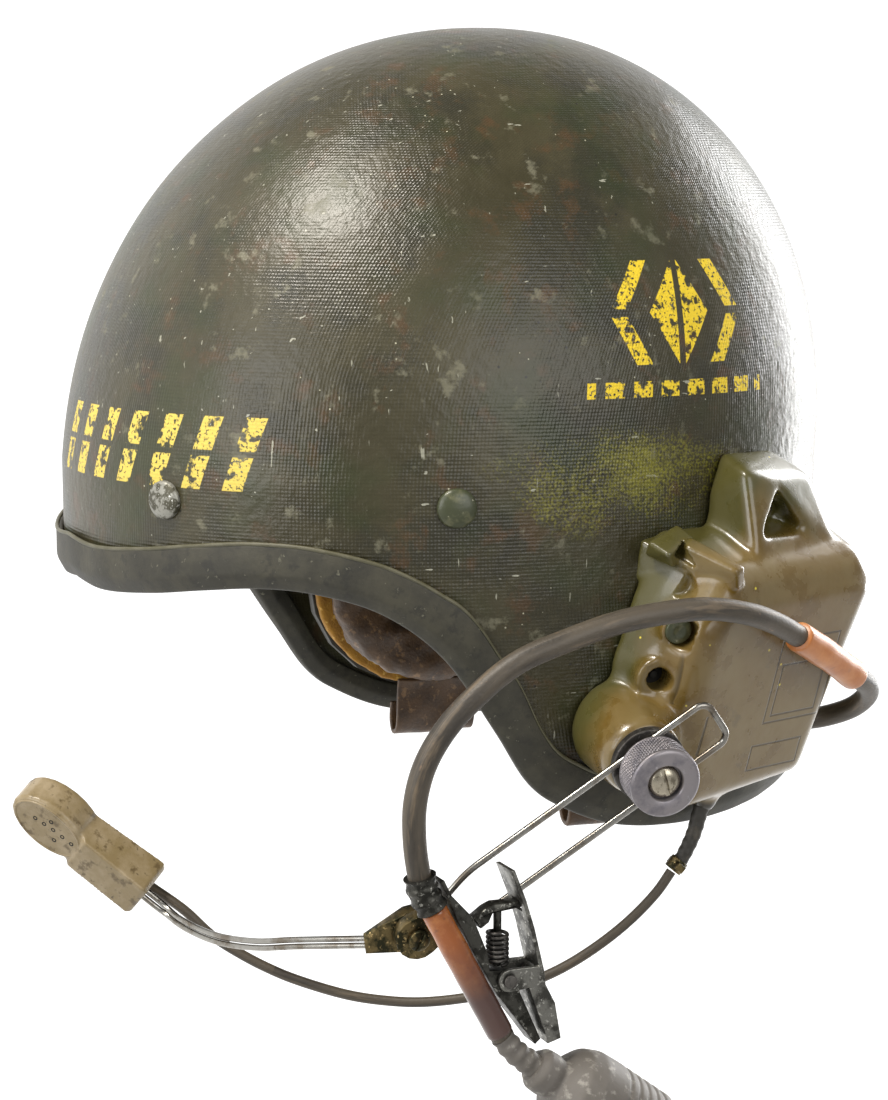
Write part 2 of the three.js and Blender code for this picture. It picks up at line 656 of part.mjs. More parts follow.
// One ear cup with its foam ring, leather pad and hanging tab; sign is +1 on the wearer's left.
function buildEar(side, sign) {
  const back = CUP_OPEN_X + CUP_DEPTH;
  const outer = [
    oval(CUP_OPEN_X, CUP_HALF_LENGTH, CUP_HALF_HEIGHT),
    oval(CUP_OPEN_X + CUP_DEPTH * 0.25, CUP_HALF_LENGTH, CUP_HALF_HEIGHT),
    oval(CUP_OPEN_X + CUP_DEPTH * 0.7, CUP_HALF_LENGTH * 0.84, CUP_HALF_HEIGHT * 0.84),
    oval(back, CUP_HALF_LENGTH * 0.5, CUP_HALF_HEIGHT * 0.5),
  ];
  const hollow = [
    oval(CUP_OPEN_X - 1, CUP_HALF_LENGTH - CUP_WALL, CUP_HALF_HEIGHT - CUP_WALL),
    oval(CUP_OPEN_X + CUP_DEPTH * 0.25, CUP_HALF_LENGTH - CUP_WALL, CUP_HALF_HEIGHT - CUP_WALL),
    oval(CUP_OPEN_X + CUP_DEPTH * 0.62, CUP_HALF_LENGTH * 0.76, CUP_HALF_HEIGHT * 0.76),
    oval(back - CUP_WALL, CUP_HALF_LENGTH * 0.44, CUP_HALF_HEIGHT * 0.44),
  ];
  const studProfile = [[0, CUP_STUD_R], [CUP_STUD_REACH, CUP_STUD_R]];
  const stud = turned(vec(back - CUP_WALL, EAR_Y, EAR_Z), vec(1, 0, 0), studProfile, 16);
  const cup = toSolid(loft(outer)).add(toSolid(stud)).subtract(toSolid(loft(hollow)));
  const seated = cup.intersect(shellVolume(-SHELL_WALL - SEAT_GAP));
  addMesh(`ear_cup_${side}`, mirrored(fromSolid(seated), sign), DARK_CUP);

  const foamFace = CUP_OPEN_X - GAP;
  const padFace = foamFace - FOAM_THICK - GAP;
  const foamHoleLength = CUP_HALF_LENGTH - 2.4 * PAD_INSET;
  const foamHoleHeight = CUP_HALF_HEIGHT - 2.4 * PAD_INSET;
  const foam = ovalRing(foamFace - FOAM_THICK, foamFace, FOAM_INSET, foamHoleLength, foamHoleHeight, 1);
  addMesh(`ear_foam_${side}`, mirrored(foam, sign), FOAM);
  const pad = ovalRing(padFace - PAD_THICK, padFace, PAD_INSET, PAD_HOLE_LENGTH, PAD_HOLE_HEIGHT, 4);
  addMesh(`ear_pad_${side}`, mirrored(pad, sign), LEATHER);
}

// Leather pull tab under an ear pad: a strap that hangs, turns up and lies back on itself.
function buildTab(side, sign) {
  const top = EAR_Z - CUP_HALF_HEIGHT + PAD_INSET - GAP;
  const x = CUP_OPEN_X - GAP - FOAM_THICK - 1.5;
  const profile = [
    [0, -0.4], [0.8, 3], [2.2, TAB_DROP * 0.7], [4.4, TAB_DROP * 0.96], [7.4, TAB_DROP],
    [9.6, TAB_DROP * 0.82], [9.0, TAB_DROP * 0.45],
  ];
  const middle = profile.map(([out, drop]) => vec(x + out, 0, top - drop - TAB_THICK / 2));
  const rings = middle.map((p, i) => {
    const before = middle[Math.max(i - 1, 0)];
    const after = middle[Math.min(i + 1, middle.length - 1)];
    const along = after.clone().sub(before).normalize();
    const across = vec(-along.z, 0, along.x).multiplyScalar(TAB_THICK / 2);
    const half = (TAB_WIDTH / 2) * (i < 2 ? 1 : 0.9);
    const y = EAR_Y + 3;
    return [
      vec(p.x - across.x, y - half, p.z - across.z),
      vec(p.x - across.x, y + half, p.z - across.z),
      vec(p.x + across.x, y + half, p.z + across.z),
      vec(p.x + across.x, y - half, p.z + across.z),
    ];
  });
  addMesh(`ear_tab_${side}`, mirrored(loft(rings), sign), LEATHER);
}

function degrees(value) {
  return THREE.MathUtils.degToRad(value);
}

// Unit vectors of the switch box: along the face to the rear, up the face, and out of it.
function boxFrame() {
  const [yaw, pitch] = [degrees(BOX_YAW), degrees(BOX_PITCH)];
  const out = vec(Math.cos(pitch) * Math.cos(yaw), Math.cos(pitch) * Math.sin(yaw), -Math.sin(pitch));
  const up = vec(Math.sin(pitch) * Math.cos(yaw), Math.sin(pitch) * Math.sin(yaw), Math.cos(pitch));
  const along = vec(-Math.sin(yaw), Math.cos(yaw), 0);
  return { along, up, out };
}

const BOX = boxFrame();

function onBox(along, up, out) {
  return BOX_AT.clone()
    .addScaledVector(BOX.along, along)
    .addScaledVector(BOX.up, up)
    .addScaledVector(BOX.out, out);
}

function shareOnBox(row, out) {
  return onBox(row.along * BOX_WIDTH, row.up * BOX_HEIGHT, out);
}

// The box's outline at a level, sliding from its foot to its face; top rows pull down by drop.
function boxRing(level, spread, inset, drop) {
  const rows = BOX_OUTLINE;
  const middleAlong = BOX_WIDTH * 0.2;
  const middleUp = BOX_HEIGHT * 0.05;
  return rows.map((row, i) => {
    const along = BOX_WIDTH * THREE.MathUtils.lerp(row.faceAlong, row.footAlong, spread);
    const up = BOX_HEIGHT * THREE.MathUtils.lerp(row.faceUp, row.footUp, spread);
    const shrink = vec(middleAlong - along, middleUp - up, 0).normalize().multiplyScalar(inset);
    return onBox(along + shrink.x, up + shrink.y - (i < 2 ? drop : 0), level);
  });
}

function bossSolid() {
  const tip = KNOB_AT.clone().addScaledVector(KNOB_AXIS, -GAP);
  const profile = [
    [-BOSS_LENGTH, BOSS_FOOT_R * 1.1],
    [-BOSS_LENGTH * 0.55, BOSS_FOOT_R],
    [-3, BOSS_R + 1],
    [0, BOSS_R - 1],
  ];
  const round = toSolid(turned(tip, KNOB_AXIS, profile, 18));
  const web = hull([
    ...circle(tip.clone().addScaledVector(KNOB_AXIS, -6), BOSS_R, frameOf(KNOB_AXIS), 12),
    ...circle(tip.clone().addScaledVector(KNOB_AXIS, -BOSS_LENGTH), BOSS_FOOT_R, frameOf(KNOB_AXIS), 12),
    onBox(-0.05 * BOX_WIDTH, -0.30 * BOX_HEIGHT, BOX_DEPTH * 0.5),
    onBox(-0.10 * BOX_WIDTH, 0, BOX_DEPTH * 0.5),
  ]);
  return round.add(web);
}

function earSolid() {
  const shoulder = EAR_BLOCK.map((row) => shareOnBox(row, row.out * BOX_DEPTH));
  const roots = EAR_BLOCK.map((row) => shareOnBox({ along: row.root, up: row.up }, -BOX_ROOT));
  const lower = [0.08, 0.66].flatMap((along) => [
    shareOnBox({ along, up: 0.42 }, BOX_DEPTH * 0.5),
    shareOnBox({ along, up: 0.42 }, -BOX_ROOT),
  ]);
  const notch = hull([
    ...EAR_NOTCH.map((row) => shareOnBox(row, EAR_FLOOR)),
    ...EAR_NOTCH.map((row) => shareOnBox(row, BOX_DEPTH)),
  ]);
  const seat = shareOnBox(EAR_SCREW_AT, EAR_FLOOR);
  const hole = toSolid(turned(seat, BOX.out, [[-5, EAR_SCREW_R + GAP], [10, EAR_SCREW_R + GAP]], 12));
  return hull([...shoulder, ...roots, ...lower]).subtract(notch).subtract(hole);
}

// Guard over the finger switch: a block with a three-cornered pocket.
function hoodSolid() {
  const block = hull(HOOD.map((row) => shareOnBox(row, row.out * BOX_DEPTH)));
  const pocket = hull([
    { along: -0.155, up: 0.485 }, { along: -0.06, up: 0.535 }, { along: -0.10, up: 0.44 },
  ].flatMap((row) => [shareOnBox(row, -2), shareOnBox(row, BOX_DEPTH)]));
  return block.subtract(pocket);
}

function roundBoss(along, up, out, radius, depth) {
  const tip = onBox(along, up, out);
  const profile = [[-depth, radius * 1.15], [-1.2, radius], [0, radius - 1]];
  return toSolid(turned(tip, KNOB_AXIS, profile, 14));
}

function roundHole(along, up, out, radius, depth) {
  const tip = onBox(along, up, out);
  return toSolid(turned(tip, KNOB_AXIS, [[-depth, radius], [5, radius]], 12));
}

function buildBox() {
  const face = BOX_DEPTH - COVER_THICK - GAP;
  const body = toSolid(loft([
    boxRing(-BOX_ROOT, 1.15, 0, 0),
    boxRing(BOX_DEPTH * 0.1, 0.9, 0, 0),
    boxRing(face - 1.6 * BOX_ROUND, 0.12, 0, SHOULDER * 0.25),
    boxRing(face - 0.4 * BOX_ROUND, 0, BOX_ROUND * 0.25, SHOULDER * 0.7),
    boxRing(face, 0, BOX_ROUND * 0.8, SHOULDER),
  ]));
  const bootRoot = vec(...BOOT_POINTS[BOOT_POINTS.length - 1]);
  const bootAxis = bootRoot.clone().sub(vec(...BOOT_POINTS[0])).normalize();
  const bootSeat = turned(bootRoot.addScaledVector(bootAxis, GAP), bootAxis, [[0, BOOT_R + 1.6], [16, BOOT_R + 3]], 12);
  const button = roundBoss(BUTTON_ALONG, BUTTON_UP, BUTTON_OUT, BUTTON_R + 1.5, 14);
  const socket = roundBoss(SOCKET_ALONG, SOCKET_UP, SOCKET_OUT, SOCKET_R, 14);
  const box = [earSolid(), hoodSolid(), bossSolid(), button, socket, toSolid(bootSeat)]
    .reduce((sum, next) => sum.add(next), body)
    .subtract(roundHole(BUTTON_ALONG, BUTTON_UP, BUTTON_OUT, BUTTON_R, 2.5))
    .subtract(roundHole(SOCKET_ALONG, SOCKET_UP, SOCKET_OUT, SOCKET_HOLE_R, 7))
    .subtract(shellVolume(SEAT_GAP))
    .subtract(trimClearance());
  addMesh('switch_box', fromSolid(box), BOX_PLASTIC);
}

// The space of the edge trim, grown by the gap, that the box has to leave free.
function trimClearance() {
  const outside = SEAT_GAP + TRIM_THICK + GAP;
  const rings = turns().map((turn) => {
    const rim = rimZ(turn);
    const steep = rimSteepness(turn);
    const low = rim - BELOW_RIM;
    const high = rim + (TRIM_WIDTH + GAP) * steep;
    return [[high, -SHELL_WALL], [high, outside], [low, outside], [low, -SHELL_WALL]]
      .map(([z, out]) => shellPoint(turn, z, out));
  });
  return toSolid(loft(rings, true));
}

function buildCover() {
  const bottom = BOX_DEPTH - COVER_THICK;
  const inset = BOX_ROUND * 0.8 + COVER_INSET;
  const plate = loft([
    boxRing(bottom, 0, inset, SHOULDER),
    boxRing(BOX_DEPTH - 0.4, 0, inset, SHOULDER),
    boxRing(BOX_DEPTH, 0, inset + 0.4, SHOULDER),
  ]);
  const seat = KNOB_AT.clone().addScaledVector(KNOB_AXIS, -BOSS_LENGTH);
  const knobSpace = turned(seat, KNOB_AXIS, [[0, BOSS_FOOT_R + 3], [BOSS_LENGTH + 20, BOSS_FOOT_R + 3]], 24);
  addMesh('box_cover', fromSolid(toSolid(plate).subtract(toSolid(knobSpace))), BOX_PLASTIC);
}

function buildBoxScrew() {
  const seat = shareOnBox(EAR_SCREW_AT, EAR_FLOOR);
  const profile = [[-5 + GAP, 0], [-5 + GAP, EAR_SCREW_R], [-1.4, EAR_SCREW_R], [-0.6, EAR_SCREW_R * 0.6], [-0.6, 0]];
  addMesh('box_screw', turned(seat, BOX.out, profile, 14), BRASS_GREEN);
}

function knobPoint(along, across, out) {
  const slope = degrees(LEG_SLOPE);
  const frame = frameOf(KNOB_AXIS);
  const rear = frame.side.clone().multiplyScalar(Math.cos(slope)).addScaledVector(frame.up, Math.sin(slope));
  const over = KNOB_AXIS.clone().cross(rear);
  return KNOB_AT.clone()
    .addScaledVector(rear, along)
    .addScaledVector(over, across)
    .addScaledVector(KNOB_AXIS, out);
}

const WIRE_OUT = FLANGE_THICK + RUN_GAP + WIRE_R;
const KNOB_BACK = WIRE_OUT + WIRE_R + RUN_GAP;
const KNOB_FRONT = KNOB_BACK + KNOB_LENGTH;

function buildClamp() {
  const stud = KNOB_FRONT - KNOB_RECESS_DEPTH - 2;
  const spool = [
    [0, 0], [0, FLANGE_R - 0.6], [0.6, FLANGE_R], [FLANGE_THICK - 0.6, FLANGE_R], [FLANGE_THICK, FLANGE_R - 0.6],
    [FLANGE_THICK, STUD_R], [stud, STUD_R], [stud, 0],
  ];
  addMesh('clamp_spool', turned(KNOB_AT, KNOB_AXIS, spool, 20), STEEL);
  const hubLow = FLANGE_THICK + RUN_GAP;
  const hub = [
    [hubLow, STUD_R + RUN_GAP], [hubLow, HUB_R], [hubLow + HUB_THICK - RUN_GAP, HUB_R],
    [hubLow + HUB_THICK - RUN_GAP, STUD_R + RUN_GAP],
  ];
  addMesh('clamp_hub', turnedRing(KNOB_AT, KNOB_AXIS, hub, 16), STEEL);
  const bore = STUD_R + RUN_GAP;
  const knob = [
    [KNOB_BACK, bore], [KNOB_BACK, KNOB_R - 0.8], [KNOB_BACK + 0.8, KNOB_R], [KNOB_FRONT - 1, KNOB_R],
    [KNOB_FRONT, KNOB_R - 1], [KNOB_FRONT, KNOB_RECESS_R], [KNOB_FRONT - KNOB_RECESS_DEPTH, KNOB_RECESS_R],
    [KNOB_FRONT - KNOB_RECESS_DEPTH, bore],
  ];
  addMesh('knob', turnedRing(KNOB_AT, KNOB_AXIS, knob, 20), STEEL);
  const low = stud + GAP;
  const screw = turned(KNOB_AT, KNOB_AXIS, [
    [low, 0], [low, STUD_R - 0.2], [KNOB_FRONT - KNOB_RECESS_DEPTH + RUN_GAP, STUD_R - 0.2],
    [KNOB_FRONT - KNOB_RECESS_DEPTH + RUN_GAP, SCREW_R], [KNOB_FRONT - 1, SCREW_R],
    [KNOB_FRONT + 0.3, 0],
  ], 16);
  const frame = frameOf(KNOB_AXIS);
  const tilt = degrees(17);
  const slotLong = frame.up.clone().multiplyScalar(Math.cos(tilt)).addScaledVector(frame.side, -Math.sin(tilt));
  const slotWide = KNOB_AXIS.clone().cross(slotLong);
  const top = KNOB_AT.clone().addScaledVector(KNOB_AXIS, KNOB_FRONT - 0.8);
  const corners = [-1, 1].flatMap((a) => [-1, 1].flatMap((b) => [0, 4].map((h) => top.clone()
    .addScaledVector(slotLong, a * SCREW_R * 1.2)
    .addScaledVector(slotWide, (b * SCREW_SLOT) / 2)
    .addScaledVector(KNOB_AXIS, h))));
  addMesh('knob_screw', fromSolid(toSolid(screw).subtract(hull(corners))), STEEL);
}

// The boom's one bent wire: a squared closed end behind the knob and two legs that turn in at the swivel.
function buildWireLoop() {
  const half = LEG_SPACING / 2;
  const end = SWIVEL_REACH - SWIVEL_R - GAP;
  const points = [
    [-end, half * 0.45], [-LOOP_BEND, half], [LOOP_REAR - 2.4, half], [LOOP_REAR, half * 0.7],
    [LOOP_REAR, -half * 0.7], [LOOP_REAR - 2.4, -half], [-LOOP_BEND, -half], [-end, -half * 0.45],
  ];
  const route = points.map(([along, across]) => knobPoint(along, across, WIRE_OUT));
  addMesh('wire_loop', bentWire(route, WIRE_R, LOOP_CORNER, 6), BRIGHT_WIRE);
}

function swivelCentre(out) {
  return knobPoint(-SWIVEL_REACH, 0, out);
}

// Two brass-coloured blocks on one screw: the outer one holds the legs, the inner one the microphone arm.
function buildSwivel() {
  const outerLow = WIRE_OUT - SWIVEL_THICK / 2;
  const outerHigh = WIRE_OUT + SWIVEL_THICK / 2;
  const bore = SWIVEL_SCREW_R + RUN_GAP;
  const frame = frameOf(KNOB_AXIS);
  const disc = (low, high) => [
    ...circle(swivelCentre(low), SWIVEL_R - 1, frame, 16), ...circle(swivelCentre(high), SWIVEL_R - 1, frame, 16),
  ];
  const lug = [-1, 1].flatMap((side) => [outerLow, outerHigh].map((out) => knobPoint(
    -SWIVEL_REACH + SWIVEL_R, side * SWIVEL_R * 0.72, out)));
  const hole = (low, high, radius) => toSolid(turned(swivelCentre(low), KNOB_AXIS, [[0, radius], [high - low, radius]], 12));
  const outer = hull([...disc(outerLow, outerHigh), ...lug])
    .subtract(hole(outerLow - 1, outerHigh + 1, SWIVEL_SCREW_R + GAP));
  addMesh('swivel_block', fromSolid(outer), BRASS_GREEN);

  const innerHigh = outerLow - RUN_GAP;
  const innerLow = innerHigh - SWIVEL_THICK;
  const armStart = vec(...ARM_POINTS[0]);
  const [armAcross, armAlong] = armFrame();
  const socketAt = armStart.clone().addScaledVector(armAlong, -GAP);
  const nose = [-1, 1].flatMap((a) => [-1, 1].map((b) => socketAt.clone()
    .addScaledVector(armAcross, a * (ARM_WIRE_SPACING / 2 + ARM_WIRE_R + 1.2))
    .addScaledVector(armAlong.clone().cross(armAcross), b * (ARM_WIRE_R + 1.3))));
  const inner = hull([...disc(innerLow, innerHigh), ...nose])
    .subtract(hole(innerLow - 1, innerHigh + 6, bore))
    .subtract(toSolid(turned(swivelCentre(innerHigh), KNOB_AXIS, [[0, SWIVEL_R * 3], [12, SWIVEL_R * 3]], 20)));
  addMesh('arm_block', fromSolid(inner), BRASS_GREEN);

  const profile = [
    [innerLow - RUN_GAP - SWIVEL_HEAD_H, 0], [innerLow - RUN_GAP - SWIVEL_HEAD_H, SWIVEL_HEAD_R],
    [innerLow - RUN_GAP, SWIVEL_HEAD_R], [innerLow - RUN_GAP, SWIVEL_SCREW_R],
    [outerHigh + GAP, SWIVEL_SCREW_R], [outerHigh + GAP, SWIVEL_HEAD_R],
    [outerHigh + GAP + SWIVEL_HEAD_H * 0.7, SWIVEL_HEAD_R], [outerHigh + GAP + SWIVEL_HEAD_H, SWIVEL_HEAD_R * 0.6],
    [outerHigh + GAP + SWIVEL_HEAD_H, 0],
  ];
  addMesh('swivel_screw', turned(swivelCentre(0), KNOB_AXIS, profile, 12), BRASS_GREEN);
}

// Directions at the start of the microphone arm: across its two wires, and along it.
function armFrame() {
  const [first, second] = vecs(ARM_POINTS.slice(0, 2));
  const along = second.clone().sub(first).normalize();
  const across = vec(0, 0, 1).addScaledVector(along, -along.z).normalize();
  return [across, along];
}

function micFrame() {
  const axis = MIC_AXIS;
  const face = MIC_FACE.clone().addScaledVector(axis, -MIC_FACE.dot(axis)).normalize();
  const side = axis.clone().cross(face);
  return { axis, face, side };
}

function onMic(along, across, out) {
  const frame = micFrame();
  return MIC_TAIL.clone()
    .addScaledVector(frame.axis, along)
    .addScaledVector(frame.side, across)
    .addScaledVector(frame.face, out);
}

const ARM_SEAT = { across: 2.5, out: 4.2 };

// Two parallel wires from the arm block to the microphone, one above the other all along.
function buildArm() {
  const end = onMic(-GAP, ARM_SEAT.across, ARM_SEAT.out);
  const before = onMic(-9, ARM_SEAT.across, ARM_SEAT.out);
  const curve = new THREE.CatmullRomCurve3([...vecs(ARM_POINTS), before, end], false, 'centripetal');
  const count = 16;
  const path = curve.getSpacedPoints(count);
  ['upper', 'lower'].forEach((which, i) => {
    const shift = (i === 0 ? 1 : -1) * (ARM_WIRE_SPACING / 2);
    const route = path.map((p, k) => {
      const along = curve.getTangentAt(k / count);
      const across = vec(0, 0, 1).addScaledVector(along, -along.z).normalize();
      return p.clone().addScaledVector(across, shift);
    });
    addMesh(`mic_wire_${which}`, wireAlong(route, ARM_WIRE_R, 6), BRIGHT_WIRE);
  });
}

function buildMic() {
  const half = MIC_HEAD_WIDTH / 2;
  const headStart = MIC_LENGTH - 30;
  const sides = 20;
  const outline = (level, inset) => Array.from({ length: sides }, (_, i) => {
    const turn = (2 * Math.PI * i) / sides;
    const longR = (MIC_LENGTH - headStart) / 2 - inset;
    return onMic((MIC_LENGTH + headStart) / 2 + longR * Math.cos(turn), (half - inset) * Math.sin(turn), level);
  });
  const low = -MIC_HEAD_THICK / 2;
  const high = MIC_HEAD_THICK / 2;
  const head = toSolid(loft([outline(low, 1.5), outline(low + 1.5, 0), outline(high - 1, 0), outline(high, 1)]));
  const stemHalf = MIC_STEM_WIDTH / 2;
  const thick = MIC_STEM_THICK / 2;
  const stem = hull([0, 1.5].flatMap((along) => [-1, 1].flatMap((a) => [-1, 1].map((b) => onMic(
    along, a * (stemHalf - (along === 0 ? 1 : 0)), b * (thick - (along === 0 ? 1 : 0))))))
    .concat([-1, 1].flatMap((a) => [
      onMic(MIC_STEM_LENGTH, a * stemHalf, thick),
      onMic(MIC_STEM_LENGTH + 12, a * (stemHalf - 1), -MIC_HEAD_THICK / 2 + 1),
    ])));
  addMesh('mic_body', fromSolid(head.add(stem)), MIC_BEIGE);
}

function buildCords() {
  const micEnd = onMic(-GAP, -ARM_SEAT.across, -ARM_SEAT.out);
  const route = [[micEnd.x, micEnd.y, micEnd.z], ...MIC_CORD_POINTS.slice(1)];
  addMesh('mic_cord', cordTube(route, MIC_CORD_R, 8), CORD_RUBBER);
  addMesh('mic_cord_ferrule', ferrule(), BRASS_GREEN);
  addMesh('mic_cord_boot', cordTube(BOOT_POINTS, BOOT_R, 10, 3), RUBBER);
  addMesh('main_cord_rear', cordTube([...cordStart(), ...CORD_REAR_POINTS], CORD_R, 10), CORD_RUBBER);
  addMesh('cord_sleeve_upper', cordTube(SLEEVE_UPPER_POINTS, SLEEVE_UPPER_R, 12, 4), ORANGE_SLEEVE);
  addMesh('main_cord_front', cordTube(CORD_FRONT_POINTS, CORD_R, 10), CORD_RUBBER);
  addMesh('cord_collar', cordTube(COLLAR_POINTS, COLLAR_R, 12, 2), DARK_STEEL);
  addMesh('cord_sleeve_lower', cordTube(SLEEVE_LOWER_POINTS, SLEEVE_LOWER_R, 12, 3), COPPER_SLEEVE);
  addMesh('plug_neck', cordTube(NECK_POINTS, NECK_R, 10, 3), GREY_PLUG);
}

// Cable union with two small ears.
function ferrule() {
  const [start, end] = vecs(FERRULE_POINTS);
  const axis = end.clone().sub(start).normalize();
  const frame = frameOf(axis);
  const length = start.distanceTo(end);
  const round = toSolid(turned(start, axis, [[GAP, FERRULE_R], [length - GAP, FERRULE_R]], 12));
  const ears = hull([-1, 1].flatMap((a) => [-1, 1].flatMap((b) => [0.25, 0.75].map((share) => start.clone()
    .addScaledVector(axis, length * share)
    .addScaledVector(frame.side, a * FERRULE_R * 1.7)
    .addScaledVector(frame.up, b * FERRULE_R * 0.5)))));
  return fromSolid(round.add(ears));
}

// The first points of the main cord, which follow the box's rear wall.
function cordStart() {
  return CORD_REAR_START.map((row) => {
    const p = onBox(GLAND_SEAT * BOX_WIDTH + row.past, row.up, row.out);
    return [p.x, p.y, p.z];
  });
}

// Rubber sleeve where the main cord leaves the rear wall of the box.
function buildGland() {
  const [exit, next] = vecs(cordStart());
  const axis = next.sub(exit).normalize().lerp(BOX.along, 0.3).normalize();
  const tip = exit.clone().addScaledVector(axis, -2 * GAP);
  const profile = [[-2 * GLAND_LENGTH, GLAND_R], [-2, GLAND_R - 0.6], [0, CORD_R + 0.9]];
  const wall = GLAND_SEAT * BOX_WIDTH + GAP;
  const block = [-BOX_WIDTH, wall].flatMap((along) => [-1, 1].flatMap((a) => [-1, 1].map(
    (b) => onBox(along, a * BOX_HEIGHT, b * BOX_HEIGHT))));
  const gland = toSolid(turned(tip, axis, profile, 16)).subtract(hull(block)).subtract(shellVolume(SEAT_GAP));
  addMesh('cord_gland', fromSolid(gland), RUBBER);
}

function buildPlug() {
  const start = vec(...NECK_POINTS[NECK_POINTS.length - 1]).addScaledVector(PLUG_AXIS, GAP);
  const profile = [
    [0, PLUG_NECK_R * 0.72], [2, PLUG_NECK_R], [6, PLUG_NECK_R * 1.02], [9, PLUG_NECK_R * 0.9],
    [10.5, PLUG_R * 0.62], [14, PLUG_R * 0.86], [19, PLUG_R * 0.98], [26, PLUG_R],
    [PLUG_LENGTH - 14, PLUG_R], [PLUG_LENGTH - 13, PLUG_R * 0.9], [PLUG_LENGTH, PLUG_R * 0.88],
  ];
  addMesh('plug', turned(start, PLUG_AXIS, profile, 18), GREY_PLUG);
}

// A plate of one outline seen from the side, as wide as both halves together along X.
function clipPlate(rows, halfWidth) {
  const outline = new THREE.Shape(rows.map((row) => new THREE.Vector2(row.y, row.z).multiplyScalar(CLIP_REACH)));
  const plate = new THREE.ExtrudeGeometry(outline, { depth: 2 * halfWidth, bevelEnabled: false });
  const basis = new THREE.Matrix4().makeBasis(vec(0, 1, 0), vec(0, 0, 1), vec(1, 0, 0));
  const corner = CLIP_PIN.clone().add(vec(-halfWidth, 0, 0));
  return toSolid(plate.applyMatrix4(basis.setPosition(corner)));
}

// A round body along X about the clip's pin.
function clipRound(low, high, radius) {
  return toSolid(turned(CLIP_PIN, vec(1, 0, 0), [[low, radius], [high, radius]], 12));
}

// A coil of round wire standing on its foot.
function coil(foot, height) {
  const steps = 6;
  const sides = 4;
  const rings = Array.from({ length: CLIP_TURNS * steps + 1 }, (_, i) => {
    const turn = (2 * Math.PI * i) / steps;
    const out = vec(Math.cos(turn), Math.sin(turn), 0);
    const centre = foot.clone().addScaledVector(out, CLIP_SPRING_R);
    centre.z += (height * i) / (CLIP_TURNS * steps);
    return circle(centre, CLIP_WIRE_R, { side: out, up: vec(0, 0, 1) }, sides);
  });
  return loft(rings);
}

// The clip: a base plate that runs down from the collar to its jaw, a lever with cheeks that turns on the
// pin, and a yoke on a rod that holds the spring.
function buildClip() {
  const half = CLIP_WIDTH / 2;
  const inner = half - CLIP_SHEET - RUN_GAP;
  const pinHole = clipRound(-half - 1, half + 1, CLIP_PIN_R + GAP);
  addMesh('clip_base', fromSolid(clipPlate(CLIP_BASE, inner).subtract(pinHole)), DARK_STEEL);

  const cheek = (low, high) => hull([low, high].flatMap((across) => [
    ...circle(CLIP_PIN.clone().add(vec(across, 0, 0)), CLIP_CHEEK_R, frameOf(vec(1, 0, 0)), 12),
    CLIP_PIN.clone().add(vec(across, CLIP_REACH * 0.49, CLIP_REACH * 0.161)),
    CLIP_PIN.clone().add(vec(across, CLIP_REACH * 0.5, CLIP_REACH * -0.104)),
  ]));
  const lever = clipPlate(CLIP_LEVER, half)
    .add(cheek(half - CLIP_SHEET, half))
    .add(cheek(-half, CLIP_SHEET - half))
    .subtract(pinHole)
    .subtract(clipPlate(CLIP_SLOT, CLIP_SLOT_WIDTH / 2));
  addMesh('clip_lever', fromSolid(lever), DARK_STEEL);

  const rodFoot = CLIP_PIN.clone().add(vec(0, CLIP_ROD_Y, CLIP_ROD_FOOT));
  const rod = turned(rodFoot, vec(0, 0, 1), [[0, CLIP_PIN_R], [CLIP_ROD_TOP - CLIP_ROD_FOOT, CLIP_PIN_R]], 10);
  const yoke = clipPlate(CLIP_YOKE, CLIP_SLOT_WIDTH / 2 - RUN_GAP).add(toSolid(rod));
  addMesh('clip_yoke', fromSolid(yoke), DARK_STEEL);
  const springFoot = rodFoot.clone().add(vec(0, 0, CLIP_WIRE_R));
  const springTop = CLIP_YOKE[2].z * CLIP_REACH - CLIP_ROD_FOOT - 2 * CLIP_WIRE_R - GAP;
  addMesh('clip_spring', coil(springFoot, springTop), DARK_STEEL);

  const head = CLIP_PIN_R + 0.9;
  const out = half + GAP;
  const pin = turned(CLIP_PIN, vec(1, 0, 0), [
    [-out - 1, 0], [-out - 1, head], [-out, head], [-out, CLIP_PIN_R],
    [out, CLIP_PIN_R], [out, head], [out + 1, head], [out + 1, 0],
  ], 12);
  addMesh('clip_pin', pin, STEEL);
}

buildShell();
buildTrim();
buildRivets();
[['left', 1], ['right', -1]].forEach(([side, sign]) => {
  buildEar(side, sign);
  buildTab(side, sign);
});
buildBox();
buildCover();
buildBoxScrew();
buildGland();
buildClamp();
buildWireLoop();
buildSwivel();
buildArm();
buildMic();
buildCords();
buildPlug();
buildClip();

export default helmet;
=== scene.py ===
"""Crew helmet of moulded laminate with ear cups, switch box, boom microphone, intercom cord and clip.

The frame is in metres: +Z up, -Y the wearer's front, +X the wearer's left, and the origin is the inner top of
the crown. Tables and size fields are millimetres, and every mesh is scaled to metres as it is made.
"""

import logging
import math
from collections.abc import Sequence
from dataclasses import dataclass
from enum import Enum
from typing import ClassVar

